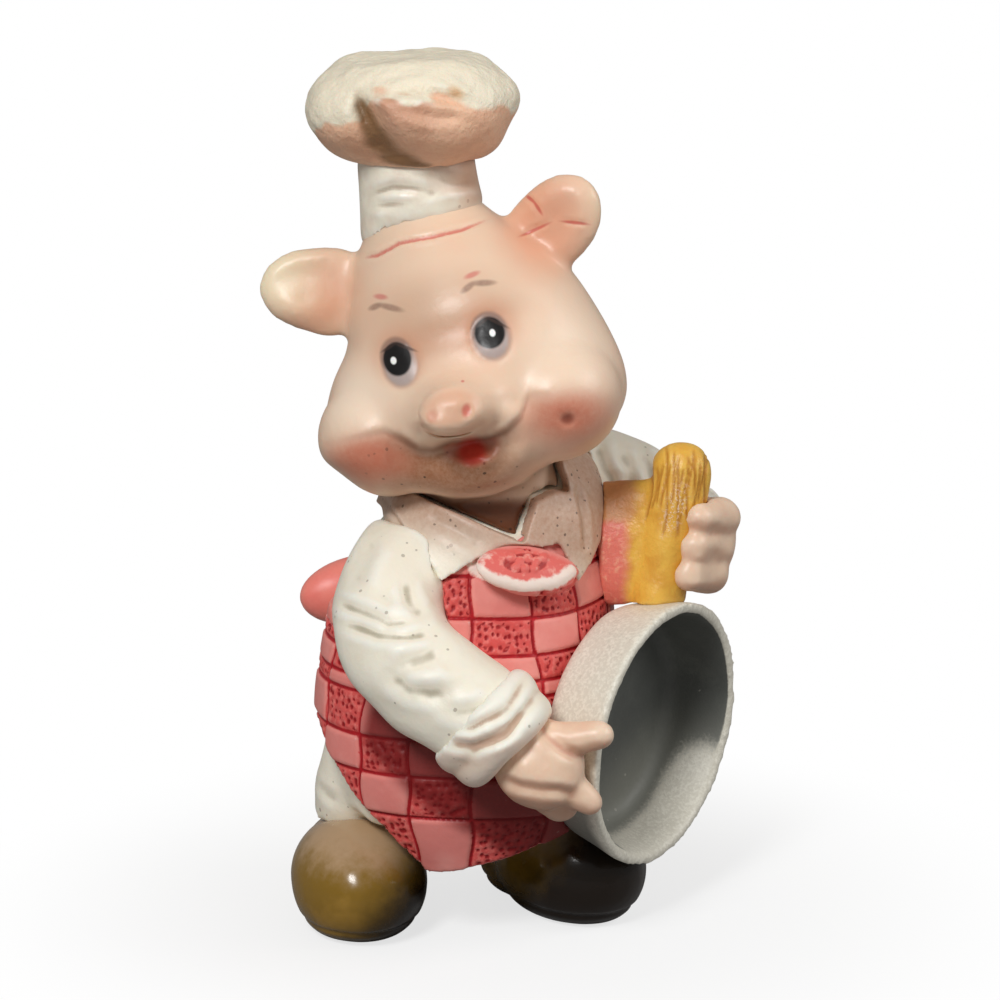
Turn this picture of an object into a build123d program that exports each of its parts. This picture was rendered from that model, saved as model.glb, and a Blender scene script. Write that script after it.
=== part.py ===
from build123d import *
import os
from math import asin, cos, degrees, radians, sin, sqrt

# Driving sizes, in millimetres and degrees. The figure faces -Y, +Z is up, its left hand is on +X.
GLUE_GAP = 0.1  # round a dowel in its hole
DOWEL_RADIUS = 1.5
DOWEL_LENGTH = 9.0

SHOE_SPACING = 19.8
SHOE_WIDTH = 13.8
SHOE_HEIGHT = 11.6
TOE_LENGTH = 9.4
HEEL_LENGTH = 5.8
SOLE_CUT = 1.6  # how much of the round is cut away to make the flat sole
TOE_OUT = 13.0
LEFT_STEP = -2.6  # of the left shoe, backwards from the right one
STANCE = -1.2  # of the middle between the shoes, towards +X

HEEL_BACK = 2.0  # of the shoes behind the middle of the body

LEG_RADIUS = 5.4
LEG_SINK = 1.8  # how deep a trouser leg sits in its shoe
SEAT_HEIGHT = 12.0
WAIST_HEIGHT = 29.0

HEM_WIDTH = 18.0
HEM_DEPTH = 21.0
HEM_HEIGHT = 9.6
HEM_TILT = -15.0
SIDE_TILT = -6.0
BELLY_WIDTH = 28.6
BELLY_DEPTH = 27.4
BELLY_HEIGHT = 20.0
CHEST_WIDTH = 25.0
CHEST_DEPTH = 20.0
CHEST_HEIGHT = 37.5
SHOULDER_WIDTH = 19.0
SHOULDER_DEPTH = 16.0
SHOULDER_HEIGHT = 44.0
SHOULDER_ROLL = -8.0
NECK_WIDTH = 14.0
NECK_HEIGHT = 47.0
LEAN = 1.4  # how far the chest leans towards the left arm

APRON_THICKNESS = 1.1
APRON_WRAP = 8.5  # how far round the side the apron reaches behind the middle
BIB_WIDTH = 26.0
BIB_TOP_WIDTH = 22.0
BIB_HEIGHT = 39.0
LIP_WIDTH = 10.8
TIE_HEIGHT = 3.2
TIE_THICKNESS = 1.0
BOW_WIDTH = 25.0
BOW_HEIGHT = 7.0

COLLAR_WIDTH = 23.4
COLLAR_DROP = 8.4
COLLAR_THICKNESS = 2.0

HEAD_LIFT = 5.6  # from the top of the neck to the middle of the cheeks
HEAD_YAW = -28.0
HEAD_ROLL = -14.0
HEAD_PITCH = -7.0
CHEEK_WIDTH = 30.4
CHEEK_DEPTH = 23.0
BROW_WIDTH = 22.8
CROWN_WIDTH = 12.2
SIDE_TURN = 1.3  # of the brow towards the left side
FACE_HEIGHT = 18.5  # from the cheeks up to the hat
CHIN_DROP = 8.6
SNOUT_WIDTH = 6.2
SNOUT_HEIGHT = 4.8
SNOUT_REACH = 16.0
MOUTH_WIDTH = 8.8
NECK_RADIUS = 5.6
EAR_LENGTH = 11.0
EAR_WIDTH = 8.4
EAR_THICKNESS = 4.2
RIGHT_EAR_LIFT = 16.0
LEFT_EAR_LIFT = 34.0

HAT_ROLL = 7.0  # back towards the upright from the tilt of the head
BAND_BASE_RADIUS = 6.6
BAND_TOP_RADIUS = 5.7
BAND_HEIGHT = 8.2
CROWN_PUFF = 21.2
CROWN_HEIGHT = 9.2
CROWN_ROLL = 5.0

SLEEVE_RADIUS = 5.4
CUFF_RADIUS = 5.9
CUFF_FOLD = 3.4

PAN_RADIUS = 13.5
PAN_BASE_RADIUS = 11.6
PAN_DEPTH = 7.6
PAN_WALL = 1.2
PAN_BEARING = 56.0  # where round the belly the pan rests
PAN_FACING = 36.9
PAN_TILT = -4.5
PAN_HEIGHT = 21.0
HANDLE_TURN = 13.5  # of the handle away from the upright, in the plane of the pan
HANDLE_LENGTH = 17.0
HANDLE_RADIUS = 2.5
HANDLE_END_RADIUS = 3.0
WEB_HEIGHT = 12.6  # of the resin left between the handle and the bib


def egg(x_radius, y_radius, z_radius):
    return scale(Sphere(1), by=(x_radius, y_radius, z_radius))


def main_body(piece):
    """The piece without any sliver that a cut has left beside it."""
    return piece.solids().sort_by(SortBy.VOLUME)[-1]


def finger(start, end, start_radius, end_radius):
    """A tapering round bar with round ends."""
    run = Vector(end) - Vector(start)
    slope = degrees(asin((start_radius - end_radius) / run.length))

    def rim(radius, height, angle):
        return radius * cos(radians(angle)), height + radius * sin(radians(angle))

    near = [rim(start_radius, 0, angle) for angle in (-90, (slope - 90) / 2, slope)]
    far = [rim(end_radius, run.length, angle) for angle in (slope, (slope + 90) / 2, 90)]
    outline = ThreePointArc(*near) + Line(near[2], far[0]) + ThreePointArc(*far) + Line(far[2], near[0])
    return Plane(start, z_dir=run) * revolve(Plane.XZ * make_face(outline), Axis.Z)


def limb(stations):
    """A bent round limb through (point, radius) stations."""
    points = [Vector(point) for point, radius in stations]
    line = Spline(*points)
    middle = points[len(points) // 2]
    bend = (middle - points[0]).cross(points[-1] - middle)
    rings = []
    for point, (place, radius) in zip(points, stations):
        along = line % line.param_at_point(point)
        across = bend - along * bend.dot(along)
        rings.append(Plane(point, x_dir=across, z_dir=along) * Circle(radius))
    return loft(rings)


def dowel(start, towards, gap=0.0):
    """A short glued pin; with a gap it is the hole for that pin."""
    run = Vector(towards) - Vector(start)
    pin = Cylinder(DOWEL_RADIUS + gap, DOWEL_LENGTH + 2 * gap)
    return Plane(start, z_dir=run) * pin


def body_form(grow):
    """The round of the clothed body, from the apron hem to the neck, grown outwards."""
    waist_width = (BELLY_WIDTH + CHEST_WIDTH) / 2 + 0.6
    waist_depth = (BELLY_DEPTH + CHEST_DEPTH) / 2 + 0.6
    levels = (
        (BELLY_HEIGHT - 14.6, HEM_WIDTH, HEM_DEPTH, 0, -1.6, 0),
        (BELLY_HEIGHT - 8, BELLY_WIDTH * 0.88, BELLY_DEPTH * 0.92, 0, -1.0, 0),
        (BELLY_HEIGHT, BELLY_WIDTH, BELLY_DEPTH, 0, -0.5, 0),
        (WAIST_HEIGHT, waist_width, waist_depth, LEAN * 0.3, 0, 0),
        (CHEST_HEIGHT, CHEST_WIDTH, CHEST_DEPTH, LEAN, 0.3, SHOULDER_ROLL / 2),
        (SHOULDER_HEIGHT, SHOULDER_WIDTH, SHOULDER_DEPTH, LEAN + 0.9, 0.5, SHOULDER_ROLL),
        (NECK_HEIGHT, NECK_WIDTH, NECK_WIDTH, LEAN, 0.5, SHOULDER_ROLL),
    )
    return loft([
        Pos(x, y, z) * Rot(Y=roll) * Ellipse(width / 2 + grow, depth / 2 + grow)
        for z, width, depth, x, y, roll in levels
    ])


def on_belly(bearing, out):
    """The point of the belly at a bearing from straight ahead towards +X, moved outwards."""
    east = sin(radians(bearing))
    south = cos(radians(bearing))
    reach = 1 / sqrt((2 * east / BELLY_WIDTH) ** 2 + (2 * south / BELLY_DEPTH) ** 2) + out
    return east * reach, -south * reach


# The pan: a tapered round pan leaning on the belly, open away from it.
pan_x, pan_y = on_belly(PAN_BEARING, 0)
pan_axis = Vector(0, -1, 0).rotate(Axis.X, -PAN_TILT).rotate(Axis.Z, PAN_FACING)
upright = Vector(0, 0, 1) - pan_axis * pan_axis.Z
handle_way = upright.rotate(Axis((0, 0, 0), pan_axis), -HANDLE_TURN)
pan_middle = Vector(pan_x, pan_y, PAN_HEIGHT) + pan_axis * PAN_DEPTH
pan_plane = Plane(pan_middle, x_dir=handle_way, z_dir=pan_axis)
pan_outside = loft(
    [Pos(0, 0, -PAN_DEPTH) * Circle(PAN_BASE_RADIUS), Circle(PAN_RADIUS)],
    ruled=True,
)
pan_inside = loft(
    [Pos(0, 0, PAN_WALL - PAN_DEPTH) * Circle(PAN_BASE_RADIUS - PAN_WALL), Circle(PAN_RADIUS - PAN_WALL)],
    ruled=True,
)
pan_outside = fillet(pan_outside.edges().sort_by(Axis.Z)[0], PAN_WALL * 1.6)
pan_inside = fillet(pan_inside.edges().sort_by(Axis.Z)[0], PAN_WALL * 1.4)
pan = pan_plane * (pan_outside - pan_inside)
pan_form = pan_plane * pan_outside


# The two shoes: a full toe and a lower heel, flat underneath.
def shoe(side):
    radius = (SHOE_HEIGHT + SOLE_CUT) / 2
    toe = Pos(0, -TOE_LENGTH * 0.42, radius - SOLE_CUT) * egg(SHOE_WIDTH / 2, TOE_LENGTH, radius)
    heel = egg(SHOE_WIDTH * 0.4, HEEL_LENGTH, radius * 0.86)
    heel = Pos(0, HEEL_LENGTH * 0.5, radius * 0.86 - SOLE_CUT) * heel
    stand = HEEL_BACK + (LEFT_STEP if side > 0 else 0)
    placed = Pos(STANCE + side * SHOE_SPACING / 2, stand, 0) * Rot(Z=side * TOE_OUT) * (toe + heel)
    return split(placed, Plane.XY, keep=Keep.TOP)


right_shoe = shoe(-1)
left_shoe = shoe(1)


# The trousers: the seat and both legs, which sit in the tops of the shoes.
def leg(side):
    stand = HEEL_BACK + (LEFT_STEP if side > 0 else 0)
    foot = STANCE + side * SHOE_SPACING / 2
    low = SHOE_HEIGHT - LEG_SINK
    hem = Pos(foot * 0.87, 1.0 + stand, low) * Circle(LEG_RADIUS * 0.96)
    knee = Pos(foot * 0.82, 0.8 + stand * 0.7, low + 3.2) * Circle(LEG_RADIUS * 1.04)
    hip = Pos(foot * 0.7, 0.5, BELLY_HEIGHT) * Circle(LEG_RADIUS * 1.15)
    return loft([hem, knee, hip])


body = body_form(0)
seat = split(split(body, Plane.XY.offset(SEAT_HEIGHT)), Plane.XY.offset(WAIST_HEIGHT), keep=Keep.BOTTOM)
trousers = seat + leg(-1) + leg(1) - pan_form
right_shoe -= leg(-1)
left_shoe -= leg(1)
left_shoe -= pan_form

# The shirt, above the waist.
shirt_body = split(body, Plane.XY.offset(WAIST_HEIGHT)) - pan_form

# The apron: a thick cloth round the front of the body, cut by its side outline, with a bib above.
cloth = body_form(APRON_THICKNESS) - body
side_line = FilletPolyline(
    (-40, HEM_HEIGHT - 6),
    (-11.6, HEM_HEIGHT - 6),
    (-8.4, HEM_HEIGHT + 3.6),
    (-5.0, HEM_HEIGHT + 8.4),
    (-0.5, HEM_HEIGHT + 11.8),
    (APRON_WRAP, WAIST_HEIGHT - 4),
    (APRON_WRAP, WAIST_HEIGHT + 3),
    radius=1.1,
)
side_edge = side_line + Polyline(side_line @ 1, (-40, WAIST_HEIGHT + 3), (-40, HEM_HEIGHT - 6))
skirt_cut = extrude(Plane.YZ * make_face(side_edge), amount=40, both=True)
skirt_cut = Pos(0, 0, HEM_HEIGHT) * Rot(Y=SIDE_TILT) * Pos(0, 0, -HEM_HEIGHT) * skirt_cut
hem_plane = Plane(Pos(0, 0, HEM_HEIGHT) * Rot(Y=HEM_TILT))
bib_line = Polyline(
    (-BIB_WIDTH / 2, WAIST_HEIGHT),
    (BIB_WIDTH / 2 + LEAN, WAIST_HEIGHT),
    (BIB_TOP_WIDTH / 2 + LEAN, BIB_HEIGHT + 6),
    (BIB_TOP_WIDTH / 2 + LEAN - 4, BIB_HEIGHT + 5),
    (LEAN + 0.3, BIB_HEIGHT + 1.2),
    (-BIB_TOP_WIDTH / 2 + LEAN, BIB_HEIGHT + 1),
    close=True,
)
bib_cut = extrude(Plane.XZ * make_face(bib_line), amount=30)
bib_front = CHEST_DEPTH / 2 + APRON_THICKNESS
lip = egg(LIP_WIDTH / 2, LIP_WIDTH * 0.24, APRON_THICKNESS * 1.2)
lip = Pos(LEAN + 0.9, -0.8 - bib_front, BIB_HEIGHT - 1) * Rot(Y=11) * Rot(X=50) * lip
apron = split(cloth & (skirt_cut + bib_cut), hem_plane) + (lip - body)
apron = apron - pan_form - right_shoe - left_shoe - trousers

# The tie round the back of the waist and the bow that closes it.
tie_zone = Pos(0, 15, WAIST_HEIGHT + 1.5) * Box(60, 30, TIE_HEIGHT)
waist_tie = ((body_form(TIE_THICKNESS) - body) & tie_zone) - apron
back = BELLY_DEPTH / 2 + TIE_THICKNESS
knot = Pos(0, back, WAIST_HEIGHT + 1.2) * egg(2.8, 2.6, 3.0)


def bow_side(side):
    """One loop of the bow and the loose end under it."""
    loop = Pos(side * BOW_WIDTH * 0.27, back - 0.2, WAIST_HEIGHT + 1.2) * Rot(Y=side * 6)
    loose = loft([
        Pos(side * 1.2, back, WAIST_HEIGHT) * Ellipse(1.6, 1.0),
        Pos(side * 3.2, back + 1.2, WAIST_HEIGHT - 6) * Ellipse(2.6, 1.0),
        Pos(side * 5.0, back + 0.4, WAIST_HEIGHT - 12) * Ellipse(3.0, 0.9),
    ])
    return loop * Rot(Y=side * 90) * egg(BOW_HEIGHT / 2, 2.8, BOW_WIDTH * 0.24) + loose


bow = knot + bow_side(1) + bow_side(-1)
apron_bow = bow - body_form(TIE_THICKNESS) - apron

# The curled tail.
tail_root = BELLY_DEPTH / 2 - 3
tail_line = Spline(
    (0, tail_root, BELLY_HEIGHT - 1),
    (0, tail_root + 5, BELLY_HEIGHT),
    (2.2, tail_root + 6.5, BELLY_HEIGHT + 2.2),
    (0.4, tail_root + 6.0, BELLY_HEIGHT + 4.2),
    (-1.6, tail_root + 7.0, BELLY_HEIGHT + 2.4),
)
tail = sweep(Plane(tail_line @ 0, z_dir=tail_line % 0) * Circle(1.1), tail_line)
tail += Pos(*(tail_line @ 1)) * Sphere(1.1)
tail -= apron_bow
trousers -= tail

# The head: a pear-shaped round with cheeks, muzzle, snout and open mouth, on a neck stub.
head_place = (
    Pos(0.3, -1.0, NECK_HEIGHT + HEAD_LIFT) * Rot(Z=HEAD_YAW) * Rot(Y=HEAD_ROLL) * Rot(X=HEAD_PITCH)
)
head_levels = (
    (-CHIN_DROP, 0.28 * CHEEK_WIDTH, 0.34 * CHEEK_DEPTH, 0.2, -3.5),
    (-CHIN_DROP * 0.75, 0.66 * CHEEK_WIDTH, 0.74 * CHEEK_DEPTH, 0.3, -2.4),
    (-1.5, CHEEK_WIDTH, CHEEK_DEPTH, SIDE_TURN * 0.4, -1.5),
    (FACE_HEIGHT * 0.2, 0.94 * CHEEK_WIDTH, CHEEK_DEPTH, SIDE_TURN * 0.7, -1.0),
    (FACE_HEIGHT * 0.55, BROW_WIDTH, 0.92 * CHEEK_DEPTH, SIDE_TURN, 0),
    (FACE_HEIGHT, CROWN_WIDTH, 0.56 * CHEEK_DEPTH, -0.6, 1.0),
    (FACE_HEIGHT + 3, 0.8 * CROWN_WIDTH, 0.45 * CHEEK_DEPTH, -0.6, 1.2),
)
skull = loft([Pos(x, y, z) * Ellipse(width / 2, depth / 2) for z, width, depth, x, y in head_levels])
cheek_x = CHEEK_WIDTH * 0.28
cheek = egg(6.6, 7.2, 6.2)
cheeks = Pos(cheek_x + 0.6, -5.0, -1.0) * cheek + Pos(0.4 - cheek_x, -5.0, -1.2) * cheek
muzzle = Pos(0.5, -8.2, 0.7) * egg(SNOUT_WIDTH * 1.25, 6.2, SNOUT_HEIGHT * 0.68)
snout_levels = (
    (SNOUT_REACH - 6.5, 1.24),
    (SNOUT_REACH - 3.2, 1.1),
    (SNOUT_REACH - 0.8, 0.98),
    (SNOUT_REACH, 0.78),
)
snout = loft([
    Pos(0.6, -reach, 0.4) * Rot(X=90) * Ellipse(SNOUT_WIDTH / 2 * k, SNOUT_HEIGHT / 2 * k)
    for reach, k in snout_levels
])
jaw = Pos(0.6, -5.9, -CHIN_DROP * 0.54) * egg(6.7, 6.0, CHIN_DROP * 0.5)
mouth = Pos(1.0, -13.4, -2.4) * egg(MOUTH_WIDTH / 2, 3.2, 3.0)
neck = Pos(LEAN, 0.5, NECK_HEIGHT - 1) * Cylinder(NECK_RADIUS, 7)
half = COLLAR_WIDTH / 2
opening_line = Polyline(
    (0, -COLLAR_DROP * 0.8),
    (-half * 0.34, -COLLAR_DROP * 0.48),
    (-half * 0.72, -COLLAR_DROP * 0.14),
    (-half * 0.72, COLLAR_DROP),
    (half * 0.53, COLLAR_DROP),
    (half * 0.53, -COLLAR_DROP * 0.42),
    (half * 0.4, -COLLAR_DROP * 0.36),
    (half * 0.2, -COLLAR_DROP * 0.4),
    (half * 0.08, -COLLAR_DROP * 0.62),
    close=True,
)
collar_place = Pos(LEAN, 0, NECK_HEIGHT) * Rot(Y=SHOULDER_ROLL)
opening = collar_place * extrude(Plane.XZ * make_face(opening_line), amount=20)
throat = body & opening
head = head_place * (skull + cheeks + jaw - mouth + muzzle + snout) + neck + throat
shirt_body -= head


# The ears: thick leaves with a hollow front, set into the sides of the head.
def ear(side):
    leaf = egg(EAR_LENGTH / 2, EAR_WIDTH / 2, EAR_THICKNESS / 2)
    hollow = Pos(0.6, 0, EAR_THICKNESS * 0.62) * egg(EAR_LENGTH * 0.36, EAR_WIDTH * 0.32, EAR_THICKNESS / 2)
    shape = Rot(X=90) * (leaf - hollow)
    if side < 0:
        shape = mirror(shape, Plane.YZ)
    lift = LEFT_EAR_LIFT if side > 0 else RIGHT_EAR_LIFT
    root = Pos(side * (BROW_WIDTH / 2 - 2.6), 0.5, FACE_HEIGHT * 0.7)
    return head_place * root * Rot(Z=-side * 14) * Rot(Y=-side * lift) * Pos(side * 4.4, 0, 0) * shape


right_ear = ear(-1)
left_ear = ear(1)
head -= right_ear
head -= left_ear

# The hat: a tapered band round the top of the head and a puffed crown sitting over the band.
hat_place = head_place * Pos(-0.9, 1.0, FACE_HEIGHT - 1.4) * Rot(Y=HAT_ROLL) * Rot(X=-HEAD_PITCH)
band_levels = ((0, 1.0), (BAND_HEIGHT * 0.5, 0.9), (BAND_HEIGHT, BAND_TOP_RADIUS / BAND_BASE_RADIUS))
band_form = loft([Pos(0, 0, z) * Circle(BAND_BASE_RADIUS * k) for z, k in band_levels])
hat_band = hat_place * band_form - head
puff = CROWN_PUFF / 2
crown_line = Spline(
    (BAND_TOP_RADIUS + 0.2, -0.5),
    (puff * 0.84, CROWN_HEIGHT * 0.24),
    (puff, CROWN_HEIGHT * 0.55),
    (puff * 0.82, CROWN_HEIGHT * 0.88),
    (0, CROWN_HEIGHT),
    tangents=((1, 0.5), (-1, 0)),
)
crown_half = crown_line + Polyline((0, CROWN_HEIGHT), (0, -0.5), (BAND_TOP_RADIUS + 0.2, -0.5))
crown = scale(revolve(Plane.XZ * make_face(crown_half), Axis.Z), by=(1, 0.92, 1))
crown = Pos(0, 0, BAND_HEIGHT) * Rot(Y=CROWN_ROLL) * crown
hat_crown = hat_place * (crown - band_form) - head

# The shirt collar: a thick turned-down ring over the shoulders, open in front between two pointed flaps.
flap_line = Polyline(
    (-half * 0.88, 6),
    (half, 6),
    (half, -COLLAR_DROP * 0.3),
    (half * 0.76, -COLLAR_DROP * 1.1),
    (half * 0.43, -COLLAR_DROP * 1.42),
    (half * 0.32, -COLLAR_DROP * 0.92),
    (half * 0.03, -COLLAR_DROP * 0.88),
    (-half * 0.07, -COLLAR_DROP * 0.9),
    (-half * 0.43, -COLLAR_DROP * 0.86),
    (-half * 0.74, -COLLAR_DROP * 1.05),
    (-half * 0.88, -COLLAR_DROP * 0.5),
    close=True,
)
flaps = extrude(Plane.XZ * make_face(flap_line), amount=20)
nape = Pos(half * 0.06, 10, 6 - COLLAR_DROP * 0.6) * Box(half * 1.88, 20, COLLAR_DROP * 1.2)
collar = (body_form(COLLAR_THICKNESS) - body) & (collar_place * (flaps + nape))
collar = collar - opening - head - apron

# The right arm: a sleeve across the belly, its turned cuff and the hand on the rim of the pan.
front = -(BELLY_DEPTH / 2 + APRON_THICKNESS)
side_x = -BELLY_WIDTH / 2
right_stations = (
    ((side_x + 8.5, -3.0, CHEST_HEIGHT + 2.0), SLEEVE_RADIUS * 0.92),
    ((side_x + 4.6, -6.0, CHEST_HEIGHT - 2.5), SLEEVE_RADIUS),
    ((side_x + 3.4, -10.5, WAIST_HEIGHT + 2.6), SLEEVE_RADIUS * 1.02),
    ((side_x + 6.2, front - 0.6, WAIST_HEIGHT - 1.0), SLEEVE_RADIUS),
    ((side_x + 10.0, front - 3.2, WAIST_HEIGHT - 3.8), SLEEVE_RADIUS * 0.94),
)
right_root = (side_x + 8.5, -3.0, CHEST_HEIGHT)
right_arm = limb(right_stations)
wrist = Vector(right_stations[4][0])
forearm_way = Vector(0.58, -0.44, -0.68).normalized()


def cuff_form(place, way, radius):
    """Two turned folds of cloth, one after the other along the arm."""
    folds = None
    for step, size in ((0, 1.0), (CUFF_FOLD * 0.72, 0.94)):
        fold = fillet(Cylinder(radius * size, CUFF_FOLD).edges(), CUFF_FOLD * 0.42)
        fold = Plane(Vector(place) + way * step, z_dir=way) * fold
        folds = fold if folds is None else folds + fold
    return folds


right_cuff = cuff_form(wrist, forearm_way, CUFF_RADIUS)
palm_at = wrist + forearm_way * (CUFF_FOLD * 1.9) + Vector(0.6, 0, 0.5)
palm = Plane(palm_at, z_dir=forearm_way) * egg(4.3, 3.6, 4.6)
stub = Plane(palm_at - forearm_way * 3.5, z_dir=forearm_way) * Cylinder(3.3, 5)
rim_near = pan_plane.from_local_coords(Vector(PAN_RADIUS * 0.04, PAN_RADIUS * 1.13, 0))
rim_low = pan_plane.from_local_coords(Vector(-PAN_RADIUS * 0.46, PAN_RADIUS * 1.02, 0))
thumb = finger(palm_at + Vector(0.4, 0, 2.2), rim_near + pan_axis * 0.9, 1.9, 1.4)
pointer = finger(palm_at, rim_low + pan_axis * 0.4, 2.4, 1.3)
lower = finger(palm_at - Vector(0, 0, 1.6), rim_low - pan_axis * 3.0 - Vector(0, 0, 1), 2.5, 1.9)
right_hand = palm + stub + thumb + pointer + lower
right_hand = right_hand - pan - apron - body
right_pin = dowel(right_root, (0, 0.5, CHEST_HEIGHT))
right_sleeve = right_arm - body - pan_form - right_hand - head - collar + right_pin
shirt_body -= dowel(right_root, (0, 0.5, CHEST_HEIGHT), GLUE_GAP)
apron -= right_arm
right_cuff = right_cuff - right_arm - right_hand - pan_form - apron - body

# The left arm: a short raised sleeve, its cuff and the fist closed round the handle of the pan.
handle_start = pan_plane.from_local_coords(Vector(PAN_BASE_RADIUS, 0, -PAN_DEPTH * 0.55))
grip_at = handle_start + handle_way * (HANDLE_LENGTH * 0.42)
fist_at = grip_at + Vector(3.6, -0.6, -0.9)
left_x = CHEST_WIDTH / 2 + LEAN
left_stations = (
    ((left_x - 5, 2.0, CHEST_HEIGHT + 4.2), SLEEVE_RADIUS * 0.9),
    ((left_x + 1.5, 4.0, CHEST_HEIGHT + 5.0), SLEEVE_RADIUS * 0.92),
    ((left_x + 6.5, 3.2, CHEST_HEIGHT + 3.2), SLEEVE_RADIUS * 0.86),
    ((left_x + 9.0, -1.0, CHEST_HEIGHT + 0.8), SLEEVE_RADIUS * 0.8),
)
left_root = (left_x - 4.0, 2.2, CHEST_HEIGHT + 2.0)
left_arm = limb(left_stations)
left_wrist = Vector(left_stations[3][0])
left_way = (fist_at - left_wrist).normalized()
left_cuff = cuff_form(left_wrist, left_way, CUFF_RADIUS * 0.76)
handle_line = Plane(handle_start, x_dir=pan_axis, z_dir=handle_way)
handle_rings = (
    (-2.0, HANDLE_RADIUS),
    (HANDLE_LENGTH * 0.5, (HANDLE_RADIUS + HANDLE_END_RADIUS) / 2 + 0.2),
    (HANDLE_LENGTH - HANDLE_END_RADIUS, HANDLE_END_RADIUS),
)
rod = loft([Pos(0, 0, z) * Circle(r) for z, r in handle_rings])
rod += Pos(0, 0, HANDLE_LENGTH - HANDLE_END_RADIUS) * Sphere(HANDLE_END_RADIUS)
web_start = Vector(LEAN + CHEST_WIDTH * 0.3, -CHEST_DEPTH * 0.2, CHEST_HEIGHT + 0.5)
web_run = grip_at - web_start
web = loft([
    Plane(web_start, x_dir=handle_way, z_dir=web_run) * Ellipse(WEB_HEIGHT / 2, HANDLE_RADIUS * 0.7),
    Plane(grip_at, x_dir=handle_way, z_dir=web_run) * Ellipse(WEB_HEIGHT / 2, HANDLE_RADIUS * 0.8),
])
pan_handle = handle_line * rod + web - pan_form - apron - body - collar
fist = Pos(*(fist_at + Vector(0.2, 2.0, 0.2))) * egg(3.8, 3.4, 4.6)
for step in (-2.9, 0, 2.9):
    knuckle = fist_at + handle_way * step + Vector(1.4, 0.6, 0)
    tip = grip_at + handle_way * step + Vector(1.4, -3.2, 0)
    fist = fist + finger(knuckle, tip, 2.05, 1.6)
left_hand = fist - pan_form - pan_handle - apron - body
left_cuff = left_cuff - left_arm - left_hand - pan_handle - apron - body - head
left_pin = dowel(left_root, (LEAN, 0.5, CHEST_HEIGHT))
left_sleeve = left_arm - body - apron - pan_handle - left_hand - head - collar + left_pin
shirt_body -= dowel(left_root, (LEAN, 0.5, CHEST_HEIGHT), GLUE_GAP)

pieces = {
    "hat_crown": hat_crown,
    "hat_band": hat_band,
    "head": head,
    "right_ear": right_ear,
    "left_ear": left_ear,
    "collar": collar,
    "shirt_body": shirt_body,
    "apron": apron,
    "waist_tie": waist_tie,
    "apron_bow": apron_bow,
    "right_sleeve": right_sleeve,
    "right_cuff": right_cuff,
    "right_hand": right_hand,
    "left_sleeve": left_sleeve,
    "left_cuff": left_cuff,
    "left_hand": left_hand,
    "pan": pan,
    "pan_handle": pan_handle,
    "trousers": trousers,
    "right_shoe": right_shoe,
    "left_shoe": left_shoe,
    "tail": tail,
}

# The origin goes to the middle of the whole figure, on the table.
pieces = {name: main_body(piece) for name, piece in pieces.items()}
box = Compound(list(pieces.values())).bounding_box()
to_origin = Pos(-box.center().X, -box.center().Y, 0)
os.makedirs("parts", exist_ok=True)
for name, piece in pieces.items():
    export_step(to_origin * piece, f"parts/{name}.step")
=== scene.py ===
import math
import bpy
import numpy as np
from mathutils import Euler, Matrix, Vector, kdtree, noise


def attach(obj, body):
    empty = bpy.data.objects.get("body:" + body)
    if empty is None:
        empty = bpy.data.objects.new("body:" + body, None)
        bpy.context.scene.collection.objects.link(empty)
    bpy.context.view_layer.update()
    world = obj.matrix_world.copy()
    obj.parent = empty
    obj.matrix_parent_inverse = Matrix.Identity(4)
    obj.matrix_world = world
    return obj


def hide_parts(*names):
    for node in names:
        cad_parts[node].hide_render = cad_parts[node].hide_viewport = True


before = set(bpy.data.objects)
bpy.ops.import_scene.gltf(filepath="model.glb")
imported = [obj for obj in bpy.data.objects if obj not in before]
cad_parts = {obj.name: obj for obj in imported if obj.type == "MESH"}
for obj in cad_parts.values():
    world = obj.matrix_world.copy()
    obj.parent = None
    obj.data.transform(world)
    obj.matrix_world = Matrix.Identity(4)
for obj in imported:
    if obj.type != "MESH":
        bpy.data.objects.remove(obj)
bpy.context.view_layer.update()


# The two shoes: round-toed resin feet, cast with flat soles and dipped in a brown glaze
# that lets a gold undercoat through where it ran thin. The side away from the lamp and the foot of each shoe are
# painted dark as shade.
def cast(name, nodes, grain, evenings, halvings=0):
    """One even skin over copies of CAD nodes, with faces of grain millimetres, ready to be sculpted."""
    bpy.ops.object.select_all(action="DESELECT")
    for node in nodes:
        piece = bpy.data.objects.new(name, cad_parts[node].data.copy())
        bpy.context.scene.collection.objects.link(piece)
        piece.select_set(True)
        bpy.context.view_layer.objects.active = piece
    if len(nodes) > 1:
        bpy.ops.object.join()
    piece = bpy.context.view_layer.objects.active
    piece.name = name
    piece.data.materials.clear()
    bpy.ops.object.mode_set(mode="EDIT")
    bpy.ops.mesh.select_all(action="SELECT")
    bpy.ops.mesh.remove_doubles(threshold=1e-6)
    bpy.ops.object.mode_set(mode="OBJECT")
    skin = piece.modifiers.new("skin", "REMESH")
    skin.mode = "VOXEL"
    skin.voxel_size = grain / 1000
    bpy.ops.object.modifier_apply(modifier="skin")
    even = piece.modifiers.new("even", "SMOOTH")
    even.factor = 0.5
    even.iterations = evenings
    bpy.ops.object.modifier_apply(modifier="even")
    if halvings:
        finer = piece.modifiers.new("finer", "SUBSURF")
        finer.levels = finer.render_levels = halvings
        bpy.ops.object.modifier_apply(modifier="finer")
    bpy.ops.object.shade_smooth()
    return piece


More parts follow.
